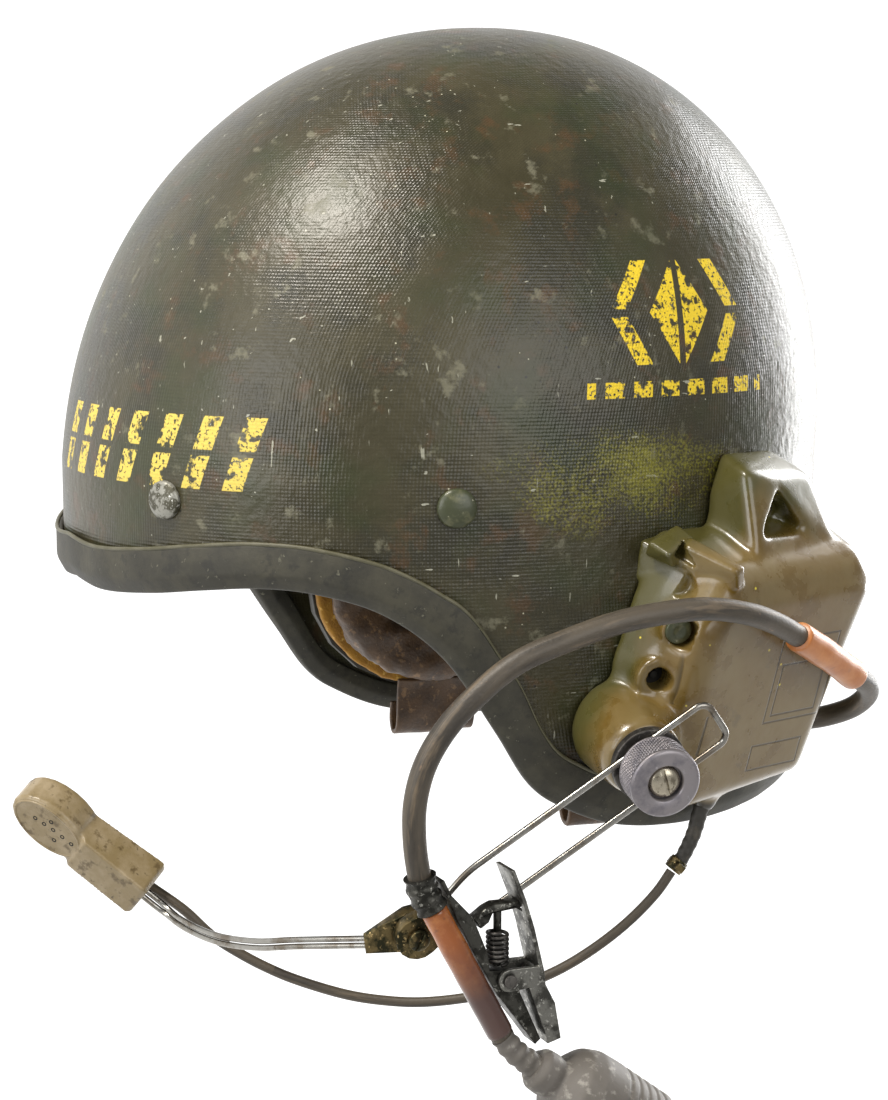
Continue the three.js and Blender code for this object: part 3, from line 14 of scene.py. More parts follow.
import bmesh
import bpy
import numpy as np
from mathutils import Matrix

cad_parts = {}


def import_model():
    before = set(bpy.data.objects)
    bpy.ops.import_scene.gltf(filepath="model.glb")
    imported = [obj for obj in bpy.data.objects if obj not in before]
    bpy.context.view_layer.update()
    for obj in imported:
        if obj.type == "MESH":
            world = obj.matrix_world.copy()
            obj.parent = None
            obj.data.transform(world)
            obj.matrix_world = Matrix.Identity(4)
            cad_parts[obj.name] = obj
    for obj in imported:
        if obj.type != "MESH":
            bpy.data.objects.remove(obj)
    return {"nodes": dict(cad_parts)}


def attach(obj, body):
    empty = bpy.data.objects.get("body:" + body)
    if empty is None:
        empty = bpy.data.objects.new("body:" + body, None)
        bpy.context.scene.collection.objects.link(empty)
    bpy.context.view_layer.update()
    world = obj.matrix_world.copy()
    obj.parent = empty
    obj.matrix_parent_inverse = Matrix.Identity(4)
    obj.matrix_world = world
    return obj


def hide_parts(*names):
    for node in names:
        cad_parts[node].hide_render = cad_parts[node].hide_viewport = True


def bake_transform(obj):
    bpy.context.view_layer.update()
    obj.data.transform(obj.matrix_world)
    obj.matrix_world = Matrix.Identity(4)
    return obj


Socket = bpy.types.NodeSocket
Tree = bpy.types.NodeTree
Piece = bpy.types.Object
Triple = tuple[float, float, float]
Points = tuple[Triple, ...]
LOG = logging.getLogger("helmet")
MM = 0.001
Array = np.ndarray

ROOT = "helmet"
CLAMP = "boom_clamp"
BOOM = "boom"
MIC_BOOM = "mic_boom"
KNOB = "knob"
JAW = "clip_jaw"
CAD: dict[str, Piece] = {}


# Curves and grids


def unit(vector: Sequence[float] | Array) -> Array:
    """Scale a vector to length one.

    Args:
        vector: Three numbers, or an array whose last side holds them.

    Returns:
        The vector or vectors, each of length one.
    """
    rows = np.asarray(vector, float)
    return rows / np.maximum(np.linalg.norm(rows, axis=-1, keepdims=True), 1e-12)


def frame_of(axis: Sequence[float] | Array) -> tuple[Array, Array, Array]:
    """Find two unit vectors across an axis: side = near x axis and up = axis x side, near being +Z or +Y.

    Args:
        axis: The direction.

    Returns:
        Side, up and the axis itself.
    """
    along = unit(axis)
    near = np.array([0.0, 1.0, 0.0]) if abs(along[2]) > 0.99 else np.array([0.0, 0.0, 1.0])
    side = unit(np.cross(near, along))
    return side, np.cross(along, side), along


def smooth_route(points: Sequence[Sequence[float]], step: float) -> Array:
    """Lay a centripetal Catmull-Rom curve through points and sample it.

    Each span is the cubic x = a + b t + c t^2 + d t^3 with end slopes from its neighbours' root distances.

    Args:
        points: The points, in millimetres.
        step: Distance between samples.

    Returns:
        The samples, about step apart.
    """
    given = np.asarray(points, float)
    ends = np.vstack([2 * given[0] - given[1], given, 2 * given[-1] - given[-2]])
    spans = []
    for i in range(len(given) - 1):
        p0, p1, p2, p3 = ends[i : i + 4]
        d0, d1, d2 = (np.linalg.norm(b - a) ** 0.5 for a, b in ((p0, p1), (p1, p2), (p2, p3)))
        slope1 = ((p1 - p0) / d0 - (p2 - p0) / (d0 + d1) + (p2 - p1) / d1) * d1
        slope2 = ((p2 - p1) / d1 - (p3 - p1) / (d1 + d2) + (p3 - p2) / d2) * d1
        t = np.linspace(0, 1, 40, endpoint=False)[:, None]
        spans.append(
            p1 + slope1 * t + (3 * (p2 - p1) - 2 * slope1 - slope2) * t**2
            + (2 * (p1 - p2) + slope1 + slope2) * t**3
        )
    fine = np.vstack([*spans, given[-1]])
    return even_steps(fine, step)


def even_steps(route: Array, step: float) -> Array:
    """Sample a fine route again at even distances.

    Args:
        route: Points along the route.
        step: Distance between samples.

    Returns:
        The new points, both ends kept.
    """
    run = np.concatenate([[0], np.cumsum(np.linalg.norm(np.diff(route, axis=0), axis=1))])
    count = max(2, round(run[-1] / step) + 1)
    at = np.linspace(0, run[-1], count)
    return np.stack([np.interp(at, run, route[:, k]) for k in range(3)], axis=1)


def bent_route(points: Sequence[Sequence[float]], corner: float, step: float) -> Array:
    """Round the corners of a broken line: each becomes the parabola from the corner before to the one after.

    Args:
        points: The line's points.
        corner: Length of line that each corner takes on either side.
        step: Distance between samples.

    Returns:
        Points along the rounded line.
    """
    given = np.asarray(points, float)
    rows = [given[:1]]
    for before, at, after in zip(given[:-2], given[1:-1], given[2:]):
        back, ahead = before - at, after - at
        reach = min(corner, 0.45 * np.linalg.norm(back), 0.45 * np.linalg.norm(ahead))
        start, end = at + unit(back) * reach, at + unit(ahead) * reach
        t = np.linspace(0, 1, 9)[:, None]
        rows.append((1 - t) ** 2 * start + 2 * t * (1 - t) * at + t**2 * end)
    rows.append(given[-1:])
    return even_steps(np.vstack(rows), step)


def carried_frames(route: Array, first: Array | None = None) -> tuple[Array, Array, Array]:
    """Carry a cross frame along a route without twist: each side is the last one made square to the tangent.

    Args:
        route: Points along the route.
        first: Direction of the first side, or None for any.

    Returns:
        Sides, ups and tangents, one row for each point.
    """
    tangents = unit(np.gradient(route, axis=0))
    side = frame_of(tangents[0])[0] if first is None else np.asarray(first, float)
    sides = np.empty_like(route)
    for i, tangent in enumerate(tangents):
        side = unit(side - tangent * (side @ tangent))
        sides[i] = side
    return sides, np.cross(tangents, sides), tangents


def wander(points: Array, size: float, seed: int, waves: int = 7) -> Array:
    """Make a smooth random height: the mean of sines of (point . direction / size + phase).

    Args:
        points: Points in millimetres, in the last side of the array.
        size: About how far apart the bumps are.
        seed: Seed of the directions and phases.
        waves: How many sines.

    Returns:
        Heights from about -1 to 1.
    """
    draw = np.random.default_rng(seed)
    directions = unit(draw.normal(size=(waves, 3))) * draw.uniform(0.7, 1.4, (waves, 1))
    phases = draw.uniform(0, 2 * math.pi, waves)
    return np.sin(points @ directions.T * (2 * math.pi / size) + phases).mean(axis=-1) * 1.6


def grid_faces(rows: int, columns: int, around: bool, along: bool, start: int = 0) -> Array:
    """Number the quads of a grid of points.

    Args:
        rows: Rows of points.
        columns: Points in each row.
        around: Whether each row closes on itself.
        along: Whether the last row joins the first.
        start: Index of the grid's first point.

    Returns:
        Four indices for each quad.
    """
    i = np.arange(rows if along else rows - 1)
    j = np.arange(columns if around else columns - 1)
    i, j = np.meshgrid(i, j, indexing="ij")
    below, beside = (i + 1) % rows, (j + 1) % columns
    quads = np.stack(
        [i * columns + j, i * columns + beside, below * columns + beside, below * columns + j], -1
    )
    return quads.reshape(-1, 4) + start


def as_piece(name: str, mesh: bpy.types.Mesh) -> Piece:
    """Put a mesh into the scene under a name and return its object."""
    piece = bpy.data.objects.new(name, mesh)
    bpy.context.scene.collection.objects.link(piece)
    return piece


def settle(mesh: bpy.types.Mesh, sharp: float = 40.0) -> None:
    """Merge doubles, face the mesh outwards and shade it smooth up to an angle.

    Args:
        mesh: The mesh.
        sharp: Angle in degrees above which an edge stays sharp.
    """
    work = bmesh.new()
    work.from_mesh(mesh)
    bmesh.ops.remove_doubles(work, verts=work.verts, dist=1e-7)
    bmesh.ops.dissolve_degenerate(work, edges=work.edges, dist=1e-8)
    bmesh.ops.recalc_face_normals(work, faces=work.faces)
    if work.calc_volume(signed=True) < 0:
        bmesh.ops.reverse_faces(work, faces=work.faces)
    work.to_mesh(mesh)
    work.free()
    mesh.shade_smooth()
    mesh.set_sharp_from_angle(angle=math.radians(sharp))


def surface(
    name: str, points: Array, around: bool = True, along: bool = False, caps: bool = True,
    sharp: float = 40.0, uv: Array | None = None,
) -> Piece:
    """Make a piece from a grid of points in millimetres.

    Args:
        name: The piece's name.
        points: Rows of points, in an array of rows x columns x 3.
        around: Whether each row closes on itself.
        along: Whether the last row joins the first.
        caps: Whether the first and last rows are closed with a face.
        sharp: Angle in degrees above which an edge stays sharp.
        uv: Two numbers for each point, kept as the UV map "surface".

    Returns:
        The new object.
    """
    rows, columns = points.shape[:2]
    faces = grid_faces(rows, columns, around, along).tolist()
    if caps and around and not along:
        faces.append(list(range(columns))[::-1])
        faces.append(list(range((rows - 1) * columns, rows * columns)))
    mesh = bpy.data.meshes.new(name)
    mesh.from_pydata((points.reshape(-1, 3) * MM).tolist(), [], faces)
    if uv is not None:
        corners = np.empty(len(mesh.loops), np.int32)
        mesh.loops.foreach_get("vertex_index", corners)
        layer = mesh.uv_layers.new(name="surface")
        layer.data.foreach_set("uv", uv.reshape(-1, 2)[corners].astype(np.float32).ravel())
    settle(mesh, sharp)
    return as_piece(name, mesh)


def ring(centres: Array, sides: Array, ups: Array, radii: Array | float, count: int) -> Array:
    """Place circles round centres: centre + radius (side cos a + up sin a).

    Args:
        centres: One centre for each circle.
        sides: First unit vector of each circle.
        ups: Second unit vector of each circle.
        radii: One radius for all, or an array that spreads over circles x count.
        count: Points in each circle.

    Returns:
        Points in an array of circles x count x 3.
    """
    angle = np.arange(count) * (2 * math.pi / count)
    spread = np.broadcast_to(np.asarray(radii, float), (len(centres), count))[..., None]
    turn = np.cos(angle)[:, None] * sides[:, None] + np.sin(angle)[:, None] * ups[:, None]
    return centres[:, None] + spread * turn


def tube(name: str, route: Array, radii: Array | float, count: int = 24, sharp: float = 40.0) -> Piece:
    """Carry a round section along a route.

    Args:
        name: The piece's name.
        route: Points along the route, in millimetres.
        radii: One radius, one for each point, or one for each point and side.
        count: Points round the section.
        sharp: Angle in degrees above which an edge stays sharp.

    Returns:
        The new object. Its UV is the run and the way round, in metres.
    """
    sides, ups, _ = carried_frames(route)
    spread = np.asarray(radii, float)
    if spread.ndim == 1:
        spread = spread[:, None]
    points = ring(route, sides, ups, spread, count)
    run = np.concatenate([[0], np.cumsum(np.linalg.norm(np.diff(route, axis=0), axis=1))])
    turn = np.arange(count) / count
    uv = np.stack(np.broadcast_arrays(run[:, None] * MM, turn[None] * 2 * math.pi * np.mean(spread) * MM), -1)
    return surface(name, points, sharp=sharp, uv=uv)


def turned(
    name: str, start: Sequence[float] | Array, axis: Sequence[float] | Array,
    profile: Sequence[tuple[float, float]], count: int = 48, hollow: bool = False, sharp: float = 35.0,
    lift: Array | None = None,
) -> Piece:
    """Turn a profile round an axis: each row is a circle at start + along axis.

    Args:
        name: The piece's name.
        start: Where along is 0.
        axis: The axis.
        profile: Rows of distance along the axis and radius.
        count: Points in each circle.
        hollow: Whether the profile closes on itself, as a ring's does.
        sharp: Angle in degrees above which an edge stays sharp.
        lift: Radius to add, in an array of rows x count.

    Returns:
        The new object.
    """
    rows = np.asarray(profile, float)
    side, up, along = frame_of(axis)
    centres = np.asarray(start, float) + rows[:, :1] * along
    radii = np.maximum(rows[:, 1:], 1e-4) + (0 if lift is None else lift)
    points = ring(centres, np.tile(side, (len(rows), 1)), np.tile(up, (len(rows), 1)), radii, count)
    return surface(name, points, along=hollow, sharp=sharp)


def rounded(profile: Sequence[tuple[float, float]], radius: float, closed: bool = False) -> Array:
    """Round the corners of a profile with parabolas that take at most radius of each line.

    Args:
        profile: Rows of two numbers.
        radius: How much of each line a corner takes.
        closed: Whether the profile closes on itself.

    Returns:
        The rows of the rounded profile.
    """
    given = np.asarray(profile, float)
    rows: list[Array] = []
    for i, at in enumerate(given):
        if not closed and i in (0, len(given) - 1):
            rows.append(at[None])
            continue
        back, ahead = given[i - 1] - at, given[(i + 1) % len(given)] - at
        reach = min(radius, 0.45 * np.linalg.norm(back), 0.45 * np.linalg.norm(ahead))
        start, end = at + unit(back) * reach, at + unit(ahead) * reach
        t = np.linspace(0, 1, 4)[:, None]
        rows.append((1 - t) ** 2 * start + 2 * t * (1 - t) * at + t**2 * end)
    return np.vstack(rows)


def merged_copy(names: Sequence[str], label: str) -> Piece:
    """Copy CAD nodes into one piece with its doubles merged.

    Args:
        names: The CAD nodes.
        label: Name of the new piece.

    Returns:
        The new object.
    """
    work = bmesh.new()
    for name in names:
        part = CAD[name].data.copy()
        part.transform(CAD[name].matrix_world)
        work.from_mesh(part)
        bpy.data.meshes.remove(part)
    bmesh.ops.remove_doubles(work, verts=work.verts, dist=2e-6)
    mesh = bpy.data.meshes.new(label)
    work.to_mesh(mesh)
    work.free()
    return as_piece(label, mesh)


def baked(piece: Piece, sharp: float = 180.0) -> Piece:
    """Put what a piece's modifiers make into its own mesh.

    Args:
        piece: The piece.
        sharp: Angle in degrees above which an edge stays sharp.

    Returns:
        The same piece, without modifiers.
    """
    bpy.context.view_layer.update()
    graph = bpy.context.evaluated_depsgraph_get()
    mesh = bpy.data.meshes.new_from_object(piece.evaluated_get(graph))
    piece.modifiers.clear()
    piece.data = mesh
    mesh.shade_smooth()
    mesh.set_sharp_from_angle(angle=math.radians(sharp))
    return piece


def cut(piece: Piece, *cutters: Piece) -> Piece:
    """Take cutters out of a piece and remove them from the scene.

    Args:
        piece: The piece that stays.
        *cutters: Closed pieces to take out of it.

    Returns:
        The piece, cut.
    """
    for i, cutter in enumerate(cutters):
        tool = piece.modifiers.new(f"cut_{i}", "BOOLEAN")
        tool.operation = "DIFFERENCE"
        tool.solver = "EXACT"
        tool.object = cutter
    baked(piece, 35.0)
    for cutter in cutters:
        bpy.data.objects.remove(cutter)
    return piece


def moulded(piece: Piece, voxel: float, passes: int) -> Piece:
    """Round every edge of a closed piece, as a mould does: an even grid of faces, then smoothing passes.

    Args:
        piece: The closed piece.
        voxel: Size of a face in millimetres.
        passes: How many times each point moves halfway to its neighbours' mean.

    Returns:
        The piece with soft edges.
    """
    grid = piece.modifiers.new("even_faces", "REMESH")
    grid.mode = "VOXEL"
    grid.voxel_size = voxel * MM
    soften = piece.modifiers.new("soften", "SMOOTH")
    soften.factor = 0.5
    soften.iterations = passes
    return baked(piece)


def block(name: str, centre: Array, axes: Sequence[Array], half: Sequence[float]) -> Piece:
    """Make a box from its centre, three unit vectors and three half sizes, in millimetres.

    Args:
        name: The piece's name.
        centre: Its centre.
        axes: Its three directions.
        half: Half its size along each of them.

    Returns:
        The new object.
    """
    a, b, c = (unit(axis) * size for axis, size in zip(axes, half))
    corners = np.array([(-1, -1), (1, -1), (1, 1), (-1, 1)], float)
    flat = corners[:, :1] * a + corners[:, 1:] * b
    points = np.stack([np.asarray(centre) + flat - c, np.asarray(centre) + flat + c])
    return surface(name, points, sharp=30.0)


def bevelled(piece: Piece, width: float, segments: int = 3, angle: float = 30.0) -> Piece:
    """Round the sharp edges of a piece.

    Args:
        piece: The piece.
        width: Width of the round in millimetres.
        segments: Faces across it.
        angle: Edges sharper than this angle in degrees are rounded.

    Returns:
        The same piece.
    """
    edge = piece.modifiers.new("round_edges", "BEVEL")
    edge.width = width * MM
    edge.segments = segments
    edge.limit_method = "ANGLE"
    edge.angle_limit = math.radians(angle)
    edge.use_clamp_overlap = True
    return baked(piece, 50.0)


# Finishes


def to_linear(code: str) -> tuple[float, float, float, float]:
    """Turn an sRGB hex colour into linear red, green, blue and alpha.

    Args:
        code: Six hex digits after a #.

    Returns:
        The linear colour.
    """
    levels = [int(code[i : i + 2], 16) / 255 for i in (1, 3, 5)]
    red, green, blue = (c / 12.92 if c <= 0.04045 else ((c + 0.055) / 1.055) ** 2.4 for c in levels)
    return red, green, blue, 1.0


def add_node(tree: Tree, kind: str, inputs: dict | None = None, **settings: object) -> bpy.types.Node:
    """Add a node, set it and link it.

    Args:
        tree: The material's node tree.
        kind: The node's type, without the words ShaderNode.
        inputs: Input name or number to a value or to the socket that feeds it.
        **settings: Attributes of the node.

    Returns:
        The node.
    """
    node = tree.nodes.new(f"ShaderNode{kind}")
    for name, value in settings.items():
        setattr(node, name, value)
    for key, value in (inputs or {}).items():
        if isinstance(value, Socket):
            tree.links.new(value, node.inputs[key])
        else:
            node.inputs[key].default_value = value
    return node


class Space(Enum):
    """Where a pattern lies."""

    SOLID = "Object"
    ALONG = "surface"


@dataclass(frozen=True)
class Patch:
    """A second colour in patches: it shows where a noise of that size is above a level.

    size is the patches' size and stretch their proportions along the axes, above the level, soft how wide
    the edge is, and strength the most it covers. rough is the roughness there, or None for no change.
    """

    colour: str
    size: float
    above: float = 0.55
    soft: float = 0.06
    strength: float = 1.0
    rough: float | None = None
    stretch: Triple = (1.0, 1.0, 1.0)
    detail: float = 4.0
    space: Space = Space.SOLID


@dataclass(frozen=True)
class Specks:
    """Round specks of paint or dirt: one in each cell, as wide as radius, thinned out by a noise."""

    colour: str
    cell: float
    radius: float
    thinned: float = 0.5
    cluster: float = 30.0


@dataclass(frozen=True)
class Finish:
    """What a surface is made of and how it has worn. Sizes are millimetres.

    grain is the size of its fine bumps and relief how high they are; ior is left at Blender's own value
    on metals.
    """

    name: str
    colour: str
    roughness: float
    metallic: float = 0.0
    ior: float | None = None
    coat: float = 0.0
    coat_roughness: float = 0.1
    sheen: float = 0.0
    patches: tuple[Patch, ...] = ()
    specks: tuple[Specks, ...] = ()
    grain: float = 0.0
    relief: float = 0.0
    grain_stretch: Triple = (1.0, 1.0, 1.0)
    made: ClassVar[dict[str, bpy.types.Material]] = {}

    def material(self) -> bpy.types.Material:
        """Make the finish's material, once."""
        if self.name not in self.made:
            self.made[self.name] = self.mix()
        return self.made[self.name]

    def mix(self) -> bpy.types.Material:
        """Build the nodes: base, patches, specks and what a subclass adds, then roughness and bumps."""
        material = bpy.data.materials.new(self.name)
        material.use_nodes = True
        material.diffuse_color = to_linear(self.colour)
        tree = material.node_tree
        shader = tree.nodes["Principled BSDF"]
        shader.inputs["Metallic"].default_value = self.metallic
        shader.inputs["Roughness"].default_value = self.roughness
        shader.inputs["Base Color"].default_value = to_linear(self.colour)
        shader.inputs["Coat Weight"].default_value = self.coat
        shader.inputs["Coat Roughness"].default_value = self.coat_roughness
        shader.inputs["Sheen Weight"].default_value = self.sheen
        if self.ior is not None:
            shader.inputs["IOR"].default_value = self.ior
        colour, rough = self.patched(tree)
        colour, rough = self.marked(tree, colour, rough)
        colour = self.specked(tree, colour)
        if colour is not None:
            tree.links.new(colour, shader.inputs["Base Color"])
        if rough is not None:
            tree.links.new(rough, shader.inputs["Roughness"])
        normal = self.bumped(tree)
        if normal is not None:
            tree.links.new(normal, shader.inputs["Normal"])
        return material

    def place(self, tree: Tree, space: Space, stretch: Triple) -> Socket:
        """Give the coordinates of a pattern, in metres.

        Args:
            tree: The node tree.
            space: Object coordinates, or the piece's own UV.
            stretch: How many times longer the pattern is along each axis.

        Returns:
            The coordinates' socket.
        """
        if space is Space.SOLID:
            source = add_node(tree, "TexCoord").outputs["Object"]
        else:
            source = add_node(tree, "UVMap", uv_map=space.value).outputs["UV"]
        if stretch == (1.0, 1.0, 1.0):
            return source
        shrink = tuple(1 / s for s in stretch)
        return add_node(tree, "Mapping", {"Vector": source, "Scale": shrink}).outputs["Vector"]

    def cover(self, tree: Tree, patch: Patch) -> Socket:
        """Make a patch's mask: noise of its size, from nothing below the level to its strength above it."""
        where = self.place(tree, patch.space, patch.stretch)
        noise = add_node(tree, "TexNoise", {
            "Vector": where, "Scale": 1 / (patch.size * MM), "Detail": patch.detail, "Roughness": 0.62,
        })
        return add_node(tree, "MapRange", {
            "Value": noise.outputs["Fac"], "From Min": patch.above - patch.soft,
            "From Max": patch.above + patch.soft, "To Max": patch.strength,
        }).outputs["Result"]

    def within(self, tree: Tree, value: object, half: float) -> Socket:
        """Give 1 where the size of a value is under half, with an edge of a quarter millimetre, else 0."""
        size = add_node(tree, "Math", {0: value}, operation="ABSOLUTE").outputs[0]
        return add_node(tree, "MapRange", {
            "Value": size, "From Min": half + 0.12, "From Max": half - 0.12,
        }).outputs["Result"]

    def outside(self, tree: Tree, value: object, half: float) -> Socket:
        """Give 1 where the size of a value is over half, else 0."""
        return add_node(
            tree, "Math", {0: 1.0, 1: self.within(tree, value, half)}, operation="SUBTRACT"
        ).outputs[0]

    def patched(self, tree: Tree) -> tuple[Socket | None, Socket | None]:
        """Lay the patches over the base and return the colour and roughness sockets, or None if flat."""
        colour: Socket | None = None
        rough: Socket | None = None
        for patch in self.patches:
            mask = self.cover(tree, patch)
            below = to_linear(self.colour) if colour is None else colour
            colour = add_node(
                tree, "Mix", {0: mask, 6: below, 7: to_linear(patch.colour)}, data_type="RGBA"
            ).outputs[2]
            if patch.rough is not None:
                rough = add_node(
                    tree, "Mix", {0: mask, 2: self.roughness if rough is None else rough, 3: patch.rough},
                    data_type="FLOAT",
                ).outputs[0]
        return colour, rough

    def marked(
        self, tree: Tree, colour: Socket | None, rough: Socket | None
    ) -> tuple[Socket | None, Socket | None]:
        """Add markings; a plain finish has none."""
        return colour, rough

    def specked(self, tree: Tree, colour: Socket | None) -> Socket | None:
        """Sprinkle specks over a colour: near a cell's centre and where a wide noise is above the level."""
        for speck in self.specks:
            where = self.place(tree, Space.SOLID, (1.0, 1.0, 1.0))
            cells = add_node(tree, "TexVoronoi", {"Vector": where, "Scale": 1 / (speck.cell * MM)})
            dot = add_node(tree, "MapRange", {
                "Value": cells.outputs["Distance"], "From Min": speck.radius / speck.cell,
                "From Max": 0.6 * speck.radius / speck.cell,
            })
            crowd = add_node(
                tree, "TexNoise", {"Vector": where, "Scale": 1 / (speck.cluster * MM), "Detail": 3.0}
            )
            kept = add_node(
                tree, "Math", {0: crowd.outputs["Fac"], 1: speck.thinned}, operation="GREATER_THAN"
            )
            mask = add_node(
                tree, "Math", {0: dot.outputs["Result"], 1: kept.outputs[0]}, operation="MULTIPLY"
            )
            below = to_linear(self.colour) if colour is None else colour
            colour = add_node(
                tree, "Mix", {0: mask.outputs[0], 6: below, 7: to_linear(speck.colour)}, data_type="RGBA"
            ).outputs[2]
        return colour

    def bumped(self, tree: Tree) -> Socket | None:
        """Make the fine bumps from a noise of the grain's size."""
        if not self.relief:
            return None
        where = self.place(tree, Space.SOLID, self.grain_stretch)
        noise = add_node(tree, "TexNoise", {"Vector": where, "Scale": 1 / (self.grain * MM), "Detail": 3.0})
        return add_node(tree, "Bump", {
            "Height": noise.outputs["Fac"], "Distance": self.relief * MM, "Strength": 1.0,
        }).outputs["Normal"]


def dress(piece: Piece, finish: Finish, body: str, slot: str, *nodes: str) -> Piece:
    """Give a piece its finish, body and the CAD nodes that it stands for.

    Args:
        piece: The piece.
        finish: What it is made of.
        body: The CAD body that it moves with.
        slot: Not used.
        *nodes: CAD nodes that it replaces.

    Returns:
        The piece.
    """
    piece.data.materials.clear()
    piece.data.materials.append(finish.material())
    if nodes:
        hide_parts(*nodes)
    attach(piece, body)
    LOG.info("%s on %s", piece.name, body)
    return piece


@dataclass(frozen=True)
class StencilBars:
    """A row of slanted stencil bars. u runs round the shell from the front, v is the level, in millimetres.

    The bars stand pitch apart from start to end, lean by slant, and every one is bridged at its middle.
    """

    start: float = -12.0
    end: float = 102.0
    low: float = -150.0
    high: float = -126.0
    pitch: float = 16.3
    width: float = 7.6
    slant: float = 0.28
    bridge: float = 1.0


@dataclass(frozen=True)
class StencilSign:
    """A lozenge between two chevrons over a row of short bars, about 75 mm wide, with stencil bridges.

    centre is its place round the shell and its level.
    """

    centre: tuple[float, float] = (246.0, -93.0)
    lozenge: tuple[float, float] = (13.0, 19.0)
    bridge: float = 1.3
    chevron_at: float = 21.0
    chevron_width: float = 6.5
    chevron_lean: float = 0.62
    chevron_height: float = 17.0
    bar_level: float = -25.0
    bar_height: float = 2.6
    bar_pitch: float = 11.0
    bar_width: float = 7.4
    bar_reach: float = 38.0


@dataclass(frozen=True)
class LaminateEnamel(Finish):
    """Olive drab enamel over woven laminate: semi-gloss, with scuffs, stains and stencils.

    The weave shows through. It is drawn coarser than the cloth, so that it can be seen at the picture's size.
    """

    bars: StencilBars = StencilBars()
    sign: StencilSign = StencilSign()
    brow_yellow: str = "#CDB650"
    side_yellow: str = "#E0C11F"
    weave: float = 1.7
    weave_relief: float = 0.16
    haze_yellow: str = "#7E7A1C"
    haze_at: tuple[float, float] = (222.0, -148.0)
    haze_half: tuple[float, float] = (52.0, 19.0)

    def bars_mask(self, tree: Tree, u: Socket, v: Socket) -> Socket:
        """Mask of the bars: |fract((u - slant v) / pitch) - 1/2| pitch < width / 2, inside the row."""
        bars = self.bars
        middle = (bars.low + bars.high) / 2
        height = add_node(tree, "Math", {0: v, 1: middle}, operation="SUBTRACT").outputs[0]
        leaning = add_node(
            tree, "Math", {0: height, 1: -bars.slant, 2: u}, operation="MULTIPLY_ADD"
        ).outputs[0]
        share = add_node(
            tree, "Math",
            {
                0: add_node(tree, "Math", {0: leaning, 1: bars.start}, operation="SUBTRACT").outputs[0],
                1: bars.pitch,
            },
            operation="DIVIDE",
        ).outputs[0]
        fraction = add_node(tree, "Math", {0: share}, operation="FRACT").outputs[0]
        off = add_node(
            tree, "Math",
            {
                0: add_node(tree, "Math", {0: fraction, 1: 0.5}, operation="SUBTRACT").outputs[0],
                1: bars.pitch,
            },
            operation="MULTIPLY",
        ).outputs[0]
        centred = add_node(
            tree, "Math", {0: leaning, 1: (bars.start + bars.end) / 2}, operation="SUBTRACT"
        ).outputs[0]
        mask = self.within(tree, off, bars.width / 2)
        for part in (
            self.within(tree, centred, (bars.end - bars.start) / 2),
            self.within(tree, height, (bars.high - bars.low) / 2),
            self.outside(tree, height, bars.bridge),
        ):
            mask = add_node(tree, "Math", {0: mask, 1: part}, operation="MULTIPLY").outputs[0]
        return mask

    def sign_mask(self, tree: Tree, u: Socket, v: Socket) -> Socket:
        """Mask of the sign: lozenge |x|/a + |y|/b < 1, chevrons ||x| - c + lean |y|| < w / 2, and bars."""
        sign = self.sign
        x = add_node(tree, "Math", {0: u, 1: sign.centre[0]}, operation="SUBTRACT").outputs[0]
        y = add_node(tree, "Math", {0: v, 1: sign.centre[1]}, operation="SUBTRACT").outputs[0]
        wide = add_node(tree, "Math", {0: x}, operation="ABSOLUTE").outputs[0]
        tall = add_node(tree, "Math", {0: y}, operation="ABSOLUTE").outputs[0]
        a, b = sign.lozenge
        slope = add_node(tree, "Math", {0: tall, 1: a / b, 2: wide}, operation="MULTIPLY_ADD").outputs[0]
        lozenge = add_node(
            tree, "Math", {0: self.within(tree, slope, a), 1: self.outside(tree, x, sign.bridge)},
            operation="MULTIPLY",
        ).outputs[0]
        arm = add_node(
            tree, "Math", {0: tall, 1: sign.chevron_lean, 2: wide}, operation="MULTIPLY_ADD"
        ).outputs[0]
        arm = add_node(
            tree, "Math", {0: arm, 1: sign.chevron_at + sign.chevron_lean * sign.chevron_height / 2},
            operation="SUBTRACT",
        ).outputs[0]
        chevron = self.within(tree, arm, sign.chevron_width / 2)
        chevron = add_node(
            tree, "Math", {0: chevron, 1: self.within(tree, y, sign.chevron_height)}, operation="MULTIPLY"
        ).outputs[0]
        chevron = add_node(
            tree, "Math", {0: chevron, 1: self.outside(tree, y, sign.bridge)}, operation="MULTIPLY"
        ).outputs[0]
        under = add_node(tree, "Math", {0: y, 1: sign.bar_level}, operation="SUBTRACT").outputs[0]
        step = add_node(
            tree, "Math",
            {0: add_node(tree, "Math", {0: wide, 1: sign.bar_pitch}, operation="DIVIDE").outputs[0]},
            operation="FRACT",
        ).outputs[0]
        step = add_node(
            tree, "Math",
            {
                0: add_node(tree, "Math", {0: step, 1: 0.5}, operation="SUBTRACT").outputs[0],
                1: sign.bar_pitch,
            },
            operation="MULTIPLY",
        ).outputs[0]
        row = self.within(tree, step, sign.bar_width / 2)
        row = add_node(
            tree, "Math", {0: row, 1: self.within(tree, under, sign.bar_height)}, operation="MULTIPLY"
        ).outputs[0]
        row = add_node(
            tree, "Math", {0: row, 1: self.within(tree, x, sign.bar_reach)}, operation="MULTIPLY"
        ).outputs[0]
        both = add_node(tree, "Math", {0: lozenge, 1: chevron}, operation="MAXIMUM").outputs[0]
        return add_node(tree, "Math", {0: both, 1: row}, operation="MAXIMUM").outputs[0]

